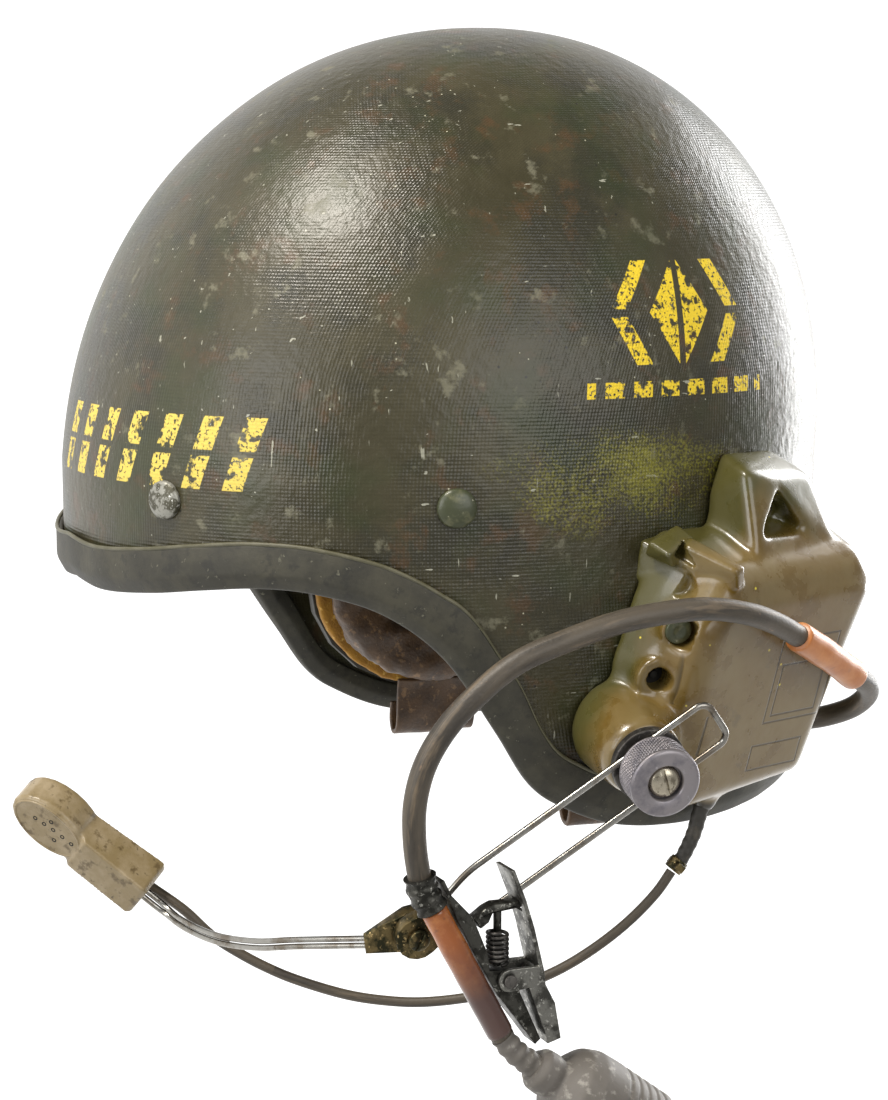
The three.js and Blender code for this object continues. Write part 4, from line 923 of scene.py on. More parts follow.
    def marked(
        self, tree: Tree, colour: Socket | None, rough: Socket | None
    ) -> tuple[Socket | None, Socket | None]:
        """Paint the overspray haze, then both stencils, worn through where two noises are low."""
        uv = add_node(tree, "UVMap", uv_map="surface").outputs["UV"]
        parts = add_node(tree, "SeparateXYZ", {0: uv})
        u = add_node(tree, "Math", {0: parts.outputs["X"], 1: 1000.0}, operation="MULTIPLY").outputs[0]
        v = add_node(tree, "Math", {0: parts.outputs["Y"], 1: 1000.0}, operation="MULTIPLY").outputs[0]
        colour = self.hazed(tree, colour, u, v)
        worn = self.worn_paint(tree)
        for mask, hue in (
            (self.bars_mask(tree, u, v), self.brow_yellow), (self.sign_mask(tree, u, v), self.side_yellow),
        ):
            kept = add_node(tree, "Math", {0: mask, 1: worn}, operation="MULTIPLY").outputs[0]
            colour = add_node(
                tree, "Mix", {0: kept, 6: colour, 7: to_linear(hue)}, data_type="RGBA"
            ).outputs[2]
            rough = add_node(
                tree, "Mix", {0: kept, 2: self.roughness if rough is None else rough, 3: 0.62},
                data_type="FLOAT",
            ).outputs[0]
        return colour, rough

    def worn_paint(self, tree: Tree) -> Socket:
        """Where stencil paint is still there: nearly all of it, but for flakes of two sizes."""
        where = self.place(tree, Space.SOLID, (1.0, 1.0, 1.0))
        kept: list[Socket] = []
        for size, level in ((4.0, 0.43), (1.1, 0.41)):
            noise = add_node(tree, "TexNoise", {"Vector": where, "Scale": 1 / (size * MM), "Detail": 5.0})
            kept.append(add_node(tree, "MapRange", {
                "Value": noise.outputs["Fac"], "From Min": level - 0.03, "From Max": level + 0.03,
            }).outputs["Result"])
        return add_node(tree, "Math", dict(enumerate(kept)), operation="MULTIPLY").outputs[0]

    def hazed(self, tree: Tree, colour: Socket | None, u: Socket, v: Socket) -> Socket:
        """Spray a yellow-green haze of fine specks over the switch box: a soft oval times two noises."""
        x = add_node(
            tree, "Math",
            {
                0: add_node(tree, "Math", {0: u, 1: self.haze_at[0]}, operation="SUBTRACT").outputs[0],
                1: self.haze_half[0],
            },
            operation="DIVIDE",
        ).outputs[0]
        y = add_node(
            tree, "Math",
            {
                0: add_node(tree, "Math", {0: v, 1: self.haze_at[1]}, operation="SUBTRACT").outputs[0],
                1: self.haze_half[1],
            },
            operation="DIVIDE",
        ).outputs[0]
        square = add_node(
            tree, "Math",
            {0: x, 1: x, 2: add_node(tree, "Math", {0: y, 1: y}, operation="MULTIPLY").outputs[0]},
            operation="MULTIPLY_ADD",
        ).outputs[0]
        soft = add_node(tree, "Math", {0: 1.0, 1: square}, operation="SUBTRACT").outputs[0]
        where = self.place(tree, Space.SOLID, (1.0, 1.0, 1.0))
        dust = add_node(tree, "TexNoise", {"Vector": where, "Scale": 1 / (0.9 * MM), "Detail": 2.0})
        cloud = add_node(tree, "TexNoise", {"Vector": where, "Scale": 1 / (22 * MM), "Detail": 3.0})
        dense = add_node(
            tree, "Math", {0: soft, 1: 0.30, 2: cloud.outputs["Fac"]}, operation="MULTIPLY_ADD"
        ).outputs[0]
        dense = add_node(tree, "Math", {0: dense, 1: dust.outputs["Fac"]}, operation="ADD").outputs[0]
        haze = add_node(tree, "MapRange", {"Value": dense, "From Min": 1.11, "From Max": 1.48, "To Max": 0.8})
        inside = add_node(tree, "MapRange", {"Value": soft, "From Min": -0.2, "From Max": 0.4})
        mask = add_node(
            tree, "Math", {0: haze.outputs["Result"], 1: inside.outputs["Result"]}, operation="MULTIPLY"
        ).outputs[0]
        return add_node(
            tree, "Mix", {0: mask, 6: colour, 7: to_linear(self.haze_yellow)}, data_type="RGBA"
        ).outputs[2]

    def bumped(self, tree: Tree) -> Socket | None:
        """Add the weave, sin(a) sin(b) of two crossing diagonals, to the orange peel of the enamel."""
        uv = add_node(tree, "UVMap", uv_map="weave").outputs["UV"]
        parts = add_node(tree, "SeparateXYZ", {0: uv})
        across = add_node(
            tree, "Math", {0: parts.outputs["X"], 1: parts.outputs["Y"]}, operation="ADD"
        ).outputs[0]
        along = add_node(
            tree, "Math", {0: parts.outputs["X"], 1: parts.outputs["Y"]}, operation="SUBTRACT"
        ).outputs[0]
        pace = 2 * math.pi / (self.weave * MM * math.sqrt(2))
        threads = add_node(
            tree, "Math",
            {
                0: add_node(
                    tree, "Math",
                    {0: add_node(tree, "Math", {0: across, 1: pace}, operation="MULTIPLY").outputs[0]},
                    operation="SINE",
                ).outputs[0],
                1: add_node(
                    tree, "Math",
                    {0: add_node(tree, "Math", {0: along, 1: pace}, operation="MULTIPLY").outputs[0]},
                    operation="SINE",
                ).outputs[0],
            },
            operation="MULTIPLY",
        ).outputs[0]
        where = self.place(tree, Space.SOLID, (1.0, 1.0, 1.0))
        peel = add_node(tree, "TexNoise", {"Vector": where, "Scale": 1 / (self.grain * MM), "Detail": 4.0})
        showing = add_node(tree, "TexNoise", {"Vector": where, "Scale": 1 / (30 * MM), "Detail": 2.0})
        shown = add_node(tree, "MapRange", {
            "Value": showing.outputs["Fac"], "From Min": 0.35, "From Max": 0.6, "To Min": 0.2,
        })
        woven = add_node(
            tree, "Math", {0: threads, 1: shown.outputs["Result"]}, operation="MULTIPLY"
        ).outputs[0]
        first = add_node(tree, "Bump", {
            "Height": peel.outputs["Fac"], "Distance": self.relief * MM, "Strength": 1.0,
        })
        return add_node(
            tree, "Bump",
            {
                "Height": woven, "Distance": self.weave_relief * MM, "Strength": 0.4,
                "Normal": first.outputs["Normal"],
            },
        ).outputs["Normal"]


SHELL_ENAMEL = LaminateEnamel(
    "olive_enamel_on_laminate", "#302C17", 0.34, ior=1.5, grain=3.4, relief=0.34,
    patches=(
        # faded and dusty bands, which lie lighter on the dome
        Patch("#403B25", 46.0, 0.50, 0.12, 0.7, 0.40, detail=6.0),
        # dark, better kept enamel
        Patch("#232215", 30.0, 0.55, 0.07, 0.75, 0.32, detail=6.0),
        # rusty and reddish stains
        Patch("#4A3319", 13.0, 0.62, 0.05, 0.6, detail=7.0),
        # pale scuffs where primer and dust hold
        Patch("#77745F", 9.0, 0.64, 0.04, 0.5, 0.55, detail=9.0),
        Patch("#26300F", 38.0, 0.58, 0.08, 0.5, detail=3.0),
        # long fine scratches
        Patch("#A9A898", 3.2, 0.735, 0.012, 0.7, stretch=(0.6, 3.6, 0.8), detail=2.0),
        Patch("#9C9B8A", 2.6, 0.74, 0.012, 0.7, stretch=(0.8, 0.7, 5.0), detail=2.0),
    ),
    specks=(Specks("#A3A08A", 3.6, 0.36, 0.60, 26.0), Specks("#1D1A12", 5.5, 0.6, 0.58, 34.0)),
)
# EPDM edging: dull, dark, dusty in its hollows
EDGE_RUBBER = Finish(
    "epdm_edging", "#2B291F", 0.6, ior=1.5, grain=1.3, relief=0.1,
    patches=(Patch("#403D2F", 14.0, 0.52, 0.1, 0.7), Patch("#1A1913", 5.0, 0.6, 0.05, 0.6),
             Patch("#7C7A66", 2.5, 0.68, 0.03, 0.5)),
)
PALE_RUBBER = Finish(
    "worn_rubber_bead", "#55523F", 0.5, ior=1.5, patches=(Patch("#48452F", 7.0, 0.5, 0.08, 0.9),),
)
# chipped silver paint on steel heads: bright with dark chips
SILVER_PAINT = Finish(
    "silver_paint_on_steel", "#8E8D84", 0.42, 0.5, grain=1.2, relief=0.12,
    patches=(Patch("#4A483B", 3.2, 0.50, 0.04, 1.0, 0.5), Patch("#C9C8C0", 1.6, 0.66, 0.03, 0.9, 0.3)),
)
GREEN_PAINT = Finish(
    "dark_green_paint", "#3B3F2A", 0.34, grain=1.6, relief=0.1,
    patches=(Patch("#59593F", 4.0, 0.55, 0.05, 0.7), Patch("#A7A48E", 2.0, 0.70, 0.02, 0.8, 0.4)),
)
# compression moulded cup: dark, faintly mottled
CUP_PLASTIC = Finish(
    "moulded_cup", "#1C1B16", 0.45, ior=1.5, patches=(Patch("#302E25", 12.0, 0.5, 0.1, 0.8),), grain=1.5,
    relief=0.05,
)
# open-cell polyurethane foam gone yellow with age: matt and grainy
AGED_FOAM = Finish(
    "aged_foam", "#9A6F22", 0.95, sheen=0.1, grain=0.9, relief=0.35,
    patches=(Patch("#8A6121", 8.0, 0.52, 0.08, 0.8), Patch("#D9B15A", 3.0, 0.62, 0.05, 0.6)),
)
# thin chrome-tanned leather: brown, creased, polished where it is handled
LEATHER = Finish(
    "creased_leather", "#4E3821", 0.5, sheen=0.05, grain=1.1, relief=0.25,
    patches=(Patch("#3A2A1B", 9.0, 0.52, 0.08, 0.85), Patch("#8A6A45", 5.0, 0.62, 0.05, 0.6, 0.4),
             Patch("#A6875F", 1.6, 0.70, 0.03, 0.5)),
)


@dataclass(frozen=True)
class Varnish(Finish):
    """Khaki enamel under thick amber varnish: green near the shell, painted shade underneath, with incised
    frames.

    A frame is its centre along and up the face and its two half sizes, in millimetres from foot.
    """

    foot: Triple = (112.0, 40.0, -215.0)
    along: Triple = (-0.34202, 0.93969, 0.0)
    up: Triple = (0.2747, 0.1, 0.9563)
    out: Triple = (0.8986, 0.3271, -0.2924)
    green_to: float = 12.0
    frames: tuple[tuple[float, float, float, float], ...] = (
        (34.5, 6.0, 14.5, 15.5), (34.0, 2.5, 11.0, 9.5), (30.0, -22.5, 12.5, 4.6), (-21.6, 14.0, 0.1, 13.0),
        (-9.6, -10.0, 0.1, 7.0),
    )
    face_from: float = 19.0

    def distance(self, tree: Tree, direction: Sequence[float]) -> Socket:
        """Distance of a point from the foot along a direction, in millimetres: (point - foot) . direction."""
        where = self.place(tree, Space.SOLID, (1.0, 1.0, 1.0))
        shifted = add_node(
            tree, "VectorMath", {0: where, 1: tuple(c * MM for c in self.foot)}, operation="SUBTRACT"
        )
        share = add_node(
            tree, "VectorMath", {0: shifted.outputs[0], 1: tuple(direction)}, operation="DOT_PRODUCT"
        )
        return add_node(
            tree, "Math", {0: share.outputs["Value"], 1: 1000.0}, operation="MULTIPLY"
        ).outputs[0]

    def lines(self, tree: Tree) -> Socket:
        """Mask of the incised lines: max(|a - centre| - half, |b - centre| - half) is next to nothing."""
        a, b = self.distance(tree, self.along), self.distance(tree, self.up)
        mask: Socket | None = None
        for middle_a, middle_b, half_a, half_b in self.frames:
            wide = add_node(
                tree, "Math",
                {0: add_node(tree, "Math", {0: a, 1: middle_a}, operation="SUBTRACT").outputs[0]},
                operation="ABSOLUTE",
            ).outputs[0]
            tall = add_node(
                tree, "Math",
                {0: add_node(tree, "Math", {0: b, 1: middle_b}, operation="SUBTRACT").outputs[0]},
                operation="ABSOLUTE",
            ).outputs[0]
            edge = add_node(
                tree, "Math",
                {
                    0: add_node(tree, "Math", {0: wide, 1: half_a}, operation="SUBTRACT").outputs[0],
                    1: add_node(tree, "Math", {0: tall, 1: half_b}, operation="SUBTRACT").outputs[0],
                },
                operation="MAXIMUM",
            ).outputs[0]
            line = self.within(tree, edge, 0.32)
            mask = line if mask is None else add_node(
                tree, "Math", {0: mask, 1: line}, operation="MAXIMUM"
            ).outputs[0]
        face = add_node(
            tree, "MapRange",
            {
                "Value": self.distance(tree, self.out), "From Min": self.face_from,
                "From Max": self.face_from + 2,
            },
        )
        return add_node(tree, "Math", {0: mask, 1: face.outputs["Result"]}, operation="MULTIPLY").outputs[0]

    def marked(
        self, tree: Tree, colour: Socket | None, rough: Socket | None
    ) -> tuple[Socket | None, Socket | None]:
        """Lay green low on the box, painted shade over its underside and darker lines in the face."""
        where = self.place(tree, Space.SOLID, (1.0, 1.0, 1.0))
        noise = add_node(tree, "TexNoise", {"Vector": where, "Scale": 1 / (14 * MM), "Detail": 4.0})
        level = add_node(
            tree, "Math", {0: noise.outputs["Fac"], 1: 22.0, 2: self.distance(tree, self.out)},
            operation="MULTIPLY_ADD",
        ).outputs[0]
        mask = add_node(tree, "MapRange", {
            "Value": level, "From Min": self.green_to + 14, "From Max": self.green_to + 2, "To Max": 0.75,
        })
        colour = add_node(
            tree, "Mix", {0: mask.outputs["Result"], 6: colour, 7: to_linear("#383D1B")}, data_type="RGBA"
        ).outputs[2]
        # painted shade: the underside below the face is darkened nearly to black, as if in shadow
        low = add_node(tree, "MapRange", {
            "Value": self.distance(tree, self.up), "From Min": -39.0, "From Max": -41.5, "To Max": 0.95,
        })
        colour = add_node(
            tree, "Mix", {0: low.outputs["Result"], 6: colour, 7: to_linear("#211D13")}, data_type="RGBA"
        ).outputs[2]
        shade = add_node(tree, "Math", {0: self.lines(tree), 1: 0.7}, operation="MULTIPLY").outputs[0]
        return add_node(
            tree, "Mix", {0: shade, 6: colour, 7: to_linear("#2C2310")}, data_type="RGBA"
        ).outputs[2], rough

    def bumped(self, tree: Tree) -> Socket | None:
        """Sink the lines a third of a millimetre into the softly uneven varnish."""
        where = self.place(tree, Space.SOLID, (1.0, 1.0, 1.0))
        noise = add_node(tree, "TexNoise", {"Vector": where, "Scale": 1 / (self.grain * MM), "Detail": 2.0})
        soft = add_node(tree, "Bump", {"Height": noise.outputs["Fac"], "Distance": self.relief * MM})
        return add_node(tree, "Bump", {
            "Height": self.lines(tree), "Distance": 0.35 * MM, "Normal": soft.outputs["Normal"],
        }, invert=True).outputs["Normal"]


BOX_VARNISH = Varnish(
    "varnished_khaki_enamel", "#675327", 0.33, ior=1.5, coat=0.4, coat_roughness=0.14, grain=5.0, relief=0.12,
    patches=(Patch("#73643F", 34.0, 0.50, 0.12, 0.6), Patch("#5C4614", 16.0, 0.56, 0.07, 0.8, 0.18),
             Patch("#463A1A", 7.0, 0.66, 0.05, 0.45)),
    specks=(Specks("#D6C43A", 7.0, 0.55, 0.55, 16.0), Specks("#2F2A16", 9.0, 0.5, 0.6, 20.0)),
)
# tarnished brass with old green paint in its corners
OLD_BRASS = Finish(
    "tarnished_brass", "#6E6040", 0.38, 0.85, grain=1.6, relief=0.15,
    patches=(Patch("#2E2D1D", 5.0, 0.48, 0.06, 1.0, 0.5), Patch("#C2A874", 1.8, 0.64, 0.04, 0.9, 0.28)),
)
# turned steel, its plating worn grey with a violet cast and bright at the rims
KNOB_STEEL = Finish(
    "worn_turned_steel", "#8C8789", 0.42, 0.75, grain=0.9, relief=0.05,
    patches=(Patch("#6A676E", 7.0, 0.55, 0.08, 0.7, 0.48), Patch("#A3A0A2", 2.4, 0.66, 0.04, 0.8, 0.25)),
)
DULL_STEEL = Finish(
    "dull_grey_steel", "#5D5A56", 0.4, 0.85, grain=1.1, relief=0.08,
    patches=(Patch("#343230", 5.0, 0.5, 0.07, 0.9, 0.5), Patch("#9A9896", 2.0, 0.68, 0.03, 0.9, 0.25)),
)
BRIGHT_SCREW = Finish(
    "nickel_screw", "#B2AA98", 0.25, 1.0, patches=(Patch("#6B6355", 2.4, 0.58, 0.06, 0.8, 0.4),),
)
# hard drawn spring wire with bright plating and brown handling marks
SPRING_WIRE = Finish(
    "plated_spring_wire", "#9A9892", 0.24, 1.0,
    patches=(Patch("#6B6154", 9.0, 0.54, 0.08, 0.8, 0.32), Patch("#4A4034", 2.5, 0.70, 0.04, 0.8, 0.5)),
)
# chipped beige enamel over zinc: semi-gloss, brown at its edges
MIC_ENAMEL = Finish(
    "chipped_beige_enamel", "#7D6D4D", 0.34, grain=1.4, relief=0.08,
    patches=(Patch("#94856A", 11.0, 0.52, 0.1, 0.8), Patch("#54452A", 4.5, 0.60, 0.05, 0.85, 0.45),
             Patch("#40341F", 2.2, 0.68, 0.03, 0.9, 0.5)),
)
# painted shade: a near-black finish that stands in for the shade inside the sound holes and the socket
PAINTED_HOLE_SHADE = Finish("painted_hole_shade", "#15120D", 0.8)
# neoprene jacket: dull, scuffed brown, darker in long streaks along the cord
CORD_JACKET = Finish(
    "neoprene_jacket", "#4A4236", 0.5, ior=1.5, grain=1.2, relief=0.12,
    patches=(Patch("#2C2720", 9.0, 0.52, 0.07, 0.85, stretch=(5.0, 1.0, 1.0), space=Space.ALONG),
             Patch("#6E5F4B", 4.0, 0.60, 0.05, 0.6, stretch=(7.0, 1.0, 1.0), space=Space.ALONG),
             Patch("#8A6B50", 2.6, 0.70, 0.03, 0.5, stretch=(3.0, 1.0, 1.0), space=Space.ALONG)),
)
BOOT_RUBBER = Finish(
    "black_rubber_boot", "#2B2822", 0.55, ior=1.5, grain=1.2, relief=0.08,
    patches=(Patch("#4C463B", 5.0, 0.58, 0.07, 0.7),),
)
# cast vinyl tube, orange where it is new and copper to purple-brown where it has aged
ORANGE_VINYL = Finish(
    "orange_vinyl_sleeve", "#A8652F", 0.36, ior=1.5,
    patches=(Patch("#BC7D47", 10.0, 0.5, 0.1, 0.8), Patch("#8F5A38", 4.0, 0.64, 0.05, 0.6)),
)


@dataclass(frozen=True)
class AgedVinyl(Finish):
    """Vinyl that shades along its length: a second colour grows from run start to run end, in millimetres."""

    second: str = "#4A342E"
    start: float = 10.0
    end: float = 34.0

    def marked(
        self, tree: Tree, colour: Socket | None, rough: Socket | None
    ) -> tuple[Socket | None, Socket | None]:
        """Shade to the second colour along the sleeve's own UV."""
        uv = add_node(tree, "UVMap", uv_map="surface").outputs["UV"]
        run = add_node(tree, "SeparateXYZ", {0: uv}).outputs["X"]
        mask = add_node(
            tree, "MapRange", {"Value": run, "From Min": self.start * MM, "From Max": self.end * MM}
        )
        return add_node(
            tree, "Mix", {0: mask.outputs["Result"], 6: colour, 7: to_linear(self.second)},
            data_type="RGBA",
        ).outputs[2], rough


COPPER_VINYL = AgedVinyl(
    "copper_vinyl_sleeve", "#8F4F22", 0.22, ior=1.5, coat=0.3, coat_roughness=0.08,
    patches=(Patch("#AE6E38", 9.0, 0.54, 0.08, 0.7), Patch("#6E4027", 4.0, 0.64, 0.05, 0.7)),
)
# spring steel with its bluing worn to bright edges
CLIP_STEEL = Finish(
    "worn_blued_steel", "#45443F", 0.36, 0.85, grain=1.0, relief=0.1,
    patches=(Patch("#24231F", 4.0, 0.5, 0.06, 0.9, 0.5), Patch("#9B9A92", 1.8, 0.64, 0.04, 0.85, 0.24)),
)
LEVER_STEEL = Finish(
    "bright_worn_lever", "#7B7A74", 0.3, 0.9, grain=1.0, relief=0.08,
    patches=(Patch("#3A3935", 5.0, 0.52, 0.08, 0.9, 0.42), Patch("#BDBCB4", 1.8, 0.62, 0.04, 0.9, 0.22)),
)
# moulded chloroprene plug: matt grey with rubbed, dusty ribs
PLUG_RUBBER = Finish(
    "moulded_grey_rubber", "#625D57", 0.6, ior=1.5, grain=1.5, relief=0.1,
    patches=(Patch("#5A554E", 10.0, 0.5, 0.1, 0.8), Patch("#949087", 4.0, 0.62, 0.06, 0.7)),
)
# the cove's glowing finish; its emission is set in Studio.build
COVE_GLOW = Finish("glowing_cove", "#F7F6F3", 0.9)


@dataclass(frozen=True)
class Dome:
    """Shape of the moulded shell: a full oval in plan that closes to the crown and tucks in below."""

    half_width: float = 122.0
    half_length: float = 138.0
    height: float = 153.0
    wall: float = 4.5
    rim_drop: float = 271.0
    power: float = 2.1
    plan: float = 2.15
    shift: float = 14.0
    rim: tuple[tuple[float, float], ...] = (
        (0, 0.699), (0.06, 0.704), (0.125, 0.696), (0.18, 0.685), (0.23, 0.678), (0.28, 0.683),
        (0.335, 0.708), (0.385, 0.763), (0.43, 0.853), (0.465, 0.925), (0.50, 0.960), (0.56, 0.990),
        (0.64, 1.0), (0.74, 0.992), (0.87, 0.958), (1.0, 0.938),
    )

    @property
    def widest(self) -> float:
        """Level of the widest ring."""
        return self.wall - self.height

    def point(self, turn: Array, level: Array, out: Array | float) -> Array:
        """Find points on the shell: reach (sin t, -cos t) from the leaning centre line.

        reach = (|sin t / w|^q + |cos t / l|^q)^(-1/q), with w and l shrinking as (1 - rise^p)^(1/p) over the
        widest level and by a square under it.

        Args:
            turn: Way round from the front towards the wearer's left, in radians.
            level: Height in millimetres.
            out: Distance outwards from the outer face.

        Returns:
            The points.
        """
        turn, level, out = np.broadcast_arrays(turn, level, out)
        rise = np.clip((level - self.widest) / (self.height + out), 0, 1)
        full = np.maximum(1 - rise**self.power, 0) ** (1 / self.power)
        tuck = np.maximum((self.widest - level) / 120, 0) ** 2
        wide = np.maximum((self.half_width + out) * full * (1 - 0.085 * tuck), 1e-6)
        long = np.maximum((self.half_length + out) * full * (1 - 0.03 * tuck), 1e-6)
        sine, cosine = np.sin(turn), np.cos(turn)
        reach = (np.abs(sine / wide) ** self.plan + np.abs(cosine / long) ** self.plan) ** (-1 / self.plan)
        return np.stack([reach * sine, self.shift * rise - reach * cosine, level], -1)

    def rim_level(self, turn: Array) -> Array:
        """Level of the rim at a turn: a uniform Catmull-Rom curve through the rim's table."""
        rows = np.asarray(self.rim)
        ends = np.vstack([rows[0], rows, rows[-1]])
        t = np.linspace(0, 1, 40)[:, None]
        spans = []
        for p0, p1, p2, p3 in zip(ends[:-3], ends[1:-2], ends[2:-1], ends[3:]):
            s1, s2 = (p2 - p0) / 2, (p3 - p1) / 2
            spans.append(
                p1 + s1 * t + (3 * (p2 - p1) - 2 * s1 - s2) * t**2 + (2 * (p1 - p2) + s1 + s2) * t**3
            )
        fine = np.vstack(spans)
        share = np.abs((np.asarray(turn) + math.pi) % (2 * math.pi) - math.pi) / math.pi
        return self.wall - self.rim_drop * np.interp(share, fine[:, 0], fine[:, 1])

    def steepness(self, turn: Array) -> Array:
        """How much longer the rim runs than its plan, from its slope a little to either side."""
        before = self.point(turn - 0.02, self.rim_level(turn - 0.02), 0)
        after = self.point(turn + 0.02, self.rim_level(turn + 0.02), 0)
        run = np.hypot(*(after - before)[..., :2].T)
        return np.hypot(1, (after - before)[..., 2] / run)


@dataclass(frozen=True)
class Shell:
    """The laminate shell with its edging and four rivets."""

    dome: Dome = Dome()
    columns: int = 256
    dome_rows: int = 64
    skirt_rows: int = 30
    edge_seat: float = 0.5
    edge_thick: float = 2.2
    edge_width: float = 12.5
    edge_inside: float = 8.0
    rivet_r: float = 6.6
    rivet_rise: float = 2.4
    rivets: tuple[tuple[str, float, float], ...] = (("front", 0.147, 28.5), ("side", 0.392, 50.9))

    def build(self) -> None:
        """Make the shell, the edging and the rivets."""
        self.moulding()
        self.edging()
        for name, turn, above in self.rivets:
            for side, sign in (("left", 1), ("right", -1)):
                self.rivet(name, side, sign * turn * math.pi, above)

    def levels(self, out: float) -> tuple[Array, Array]:
        """Rows of one face from crown to rim: rise = sin(a)^(2/p) over the dome, then even steps."""
        dome = self.dome
        angle = np.linspace(math.pi / 2 - 0.01, 0, self.dome_rows)
        rise = np.sin(angle) ** (2 / dome.power)
        turn = np.arange(self.columns) * (2 * math.pi / self.columns) - math.pi
        upper = np.repeat((dome.widest + (dome.height + out) * rise)[:, None], self.columns, 1)
        share = np.linspace(0, 1, self.skirt_rows + 1)[1:, None]
        lower = dome.widest + (dome.rim_level(turn)[None] - dome.widest) * share
        levels = np.vstack([upper, lower])
        return np.repeat(turn[None], len(levels), 0), levels

    def moulding(self) -> None:
        """Lay the outer and inner faces, uneven by a third of a millimetre, with their UV maps."""
        dome = self.dome
        turn, levels = self.levels(0)
        outer = dome.point(turn, levels, 0)
        outer = dome.point(turn, levels, 0.22 * wander(outer, 70, 3) - 0.12)
        inner_turn, inner_levels = self.levels(-dome.wall)
        inner = dome.point(inner_turn, inner_levels, -dome.wall)
        points = np.vstack([outer, inner[::-1]])
        widest = dome.point(turn[0], dome.widest, 0)
        steps = np.linalg.norm(np.diff(widest, axis=0, append=widest[:1]), axis=1)
        arc = np.concatenate([[0], np.cumsum(steps)])
        run = arc[:-1] - arc[-1] / 2
        u = np.broadcast_to(run * MM, points.shape[:2])
        piece = surface("laminate_shell", points, uv=np.stack([u, points[..., 2] * MM], -1))
        self.close_seam(piece.data, arc[-1] * MM)
        dress(piece, SHELL_ENAMEL, ROOT, "shell_enamel", "shell")

    def close_seam(self, mesh: bpy.types.Mesh, whole: float) -> None:
        """Let the UV of the last column run on past the back instead of back to the start.

        Args:
            mesh: The shell's mesh.
            whole: Length once round, in metres.
        """
        layer = mesh.uv_layers["surface"]
        uv = np.empty(len(mesh.loops) * 2, np.float32)
        layer.data.foreach_get("uv", uv)
        uv = uv.reshape(-1, 2)
        starts = np.empty(len(mesh.polygons), np.int32)
        mesh.polygons.foreach_get("loop_start", starts)
        highest = np.maximum.reduceat(uv[:, 0], starts)
        sizes = np.diff(np.append(starts, len(uv)))
        over = np.repeat(highest, sizes) - uv[:, 0] > whole / 2
        uv[over, 0] += whole
        layer.data.foreach_set("uv", uv.ravel())
        self.lay_weave(mesh, uv)

    def lay_weave(self, mesh: bpy.types.Mesh, uv: Array) -> None:
        """Lay the cloth's own UV: the way round shrinks with the ring, and the way up follows the meridian.

        Args:
            mesh: The shell's mesh.
            uv: Its paint UV, in metres.
        """
        dome = self.dome
        places = np.empty(len(mesh.vertices) * 3, np.float32)
        mesh.vertices.foreach_get("co", places)
        corners = np.empty(len(mesh.loops), np.int32)
        mesh.loops.foreach_get("vertex_index", corners)
        x, y, z = (places.reshape(-1, 3)[corners] / MM).T
        lift = z - dome.widest
        lean = y - dome.shift * np.clip(lift / dome.height, 0, 1)
        full = np.minimum(np.hypot(x / dome.half_width, lean / dome.half_length), 1)
        climb = np.where(lift > 0, dome.height * np.arctan2(lift / dome.height, full), lift)
        cloth = np.stack([uv[:, 0] * full, climb * MM], -1)
        layer = mesh.uv_layers.new(name="weave")
        layer.data.foreach_set("uv", cloth.astype(np.float32).ravel())

    def edge_grid(self, rows: Sequence[Triple]) -> Array:
        """Carry a section round the rim: level = rim + a steepness + b, at a distance out.

        Args:
            rows: Rows of a, b and out.

        Returns:
            Points in an array of rows x columns x 3.
        """
        dome = self.dome
        turn = np.linspace(-math.pi, math.pi, self.columns * 2, endpoint=False)
        rim, steep = dome.rim_level(turn), dome.steepness(turn)
        table = np.asarray(rows, float)
        levels = rim + table[:, :1] * steep + table[:, 1:2]
        return dome.point(turn[None], levels, table[:, 2:])

    def edging(self) -> None:
        """Make the rubber channel: its section with every corner rounded, and the pale bead along its top."""
        seat, thick, wall = self.edge_seat, self.edge_thick, self.dome.wall
        outside, inside = seat + thick, -wall - seat - thick
        section = [
            (self.edge_width, 0.02), (self.edge_width, outside), (thick, outside), (-seat - thick, 0.1),
            (-seat - thick, -wall - 0.1), (thick, inside), (self.edge_inside, inside),
            (self.edge_inside, -wall - 0.02), (-seat, -wall - 0.02), (-seat, 0.02),
        ]
        soft = rounded(section, 1.1, closed=True)
        grid = self.edge_grid([(a, 0.0, b) for a, b in soft])
        grid = grid + 0.18 * wander(grid, 18, 5)[..., None] * unit(grid * [1, 1, 0])
        dress(
            surface("rubber_edging", grid, along=True, sharp=60.0), EDGE_RUBBER, ROOT, "edge_rubber",
            "edge_trim",
        )
        angle = np.arange(10) * (math.pi / 5)
        bead = [(self.edge_width, 0.75 * math.sin(a), outside - 0.55 + 0.75 * math.cos(a)) for a in angle]
        dress(surface("edging_bead", self.edge_grid(bead), along=True), PALE_RUBBER, ROOT, "edge_rubber")

    def rivet(self, name: str, side: str, turn: float, above: float) -> None:
        """Make a domed rivet through the shell, square to its face.

        Args:
            name: Which rivet.
            side: The wearer's side.
            turn: Its place round the shell.
            above: How far over the rim it sits.
        """
        dome = self.dome
        level = float(dome.rim_level(turn)) + above
        at = dome.point(turn, level, 0)
        ahead = dome.point(turn + 0.01, level, 0) - at
        axis = unit(np.cross(dome.point(turn, level - 1, 0) - at, ahead))
        lift, back = 0.7, -dome.wall - 0.7
        arch = [
            (lift + self.rivet_rise * math.sin(a), self.rivet_r * math.cos(a))
            for a in np.linspace(0.25, math.pi / 2, 9)
        ]
        profile = [
            (back - 1.2, 0), (back - 1.2, 4.6), (back - 0.3, 5), (back, 5), (back, 2.4), (-0.6, 2.4),
            (-0.6, self.rivet_r - 0.3), (lift - 0.2, self.rivet_r), *arch,
        ]
        piece = turned(f"{name}_rivet_{side}", at, axis, profile, count=40)
        finish, slot = (SILVER_PAINT, "rivet_silver") if name == "front" else (GREEN_PAINT, "rivet_green")
        dress(piece, finish, ROOT, slot, f"rivet_{name}_{side}")


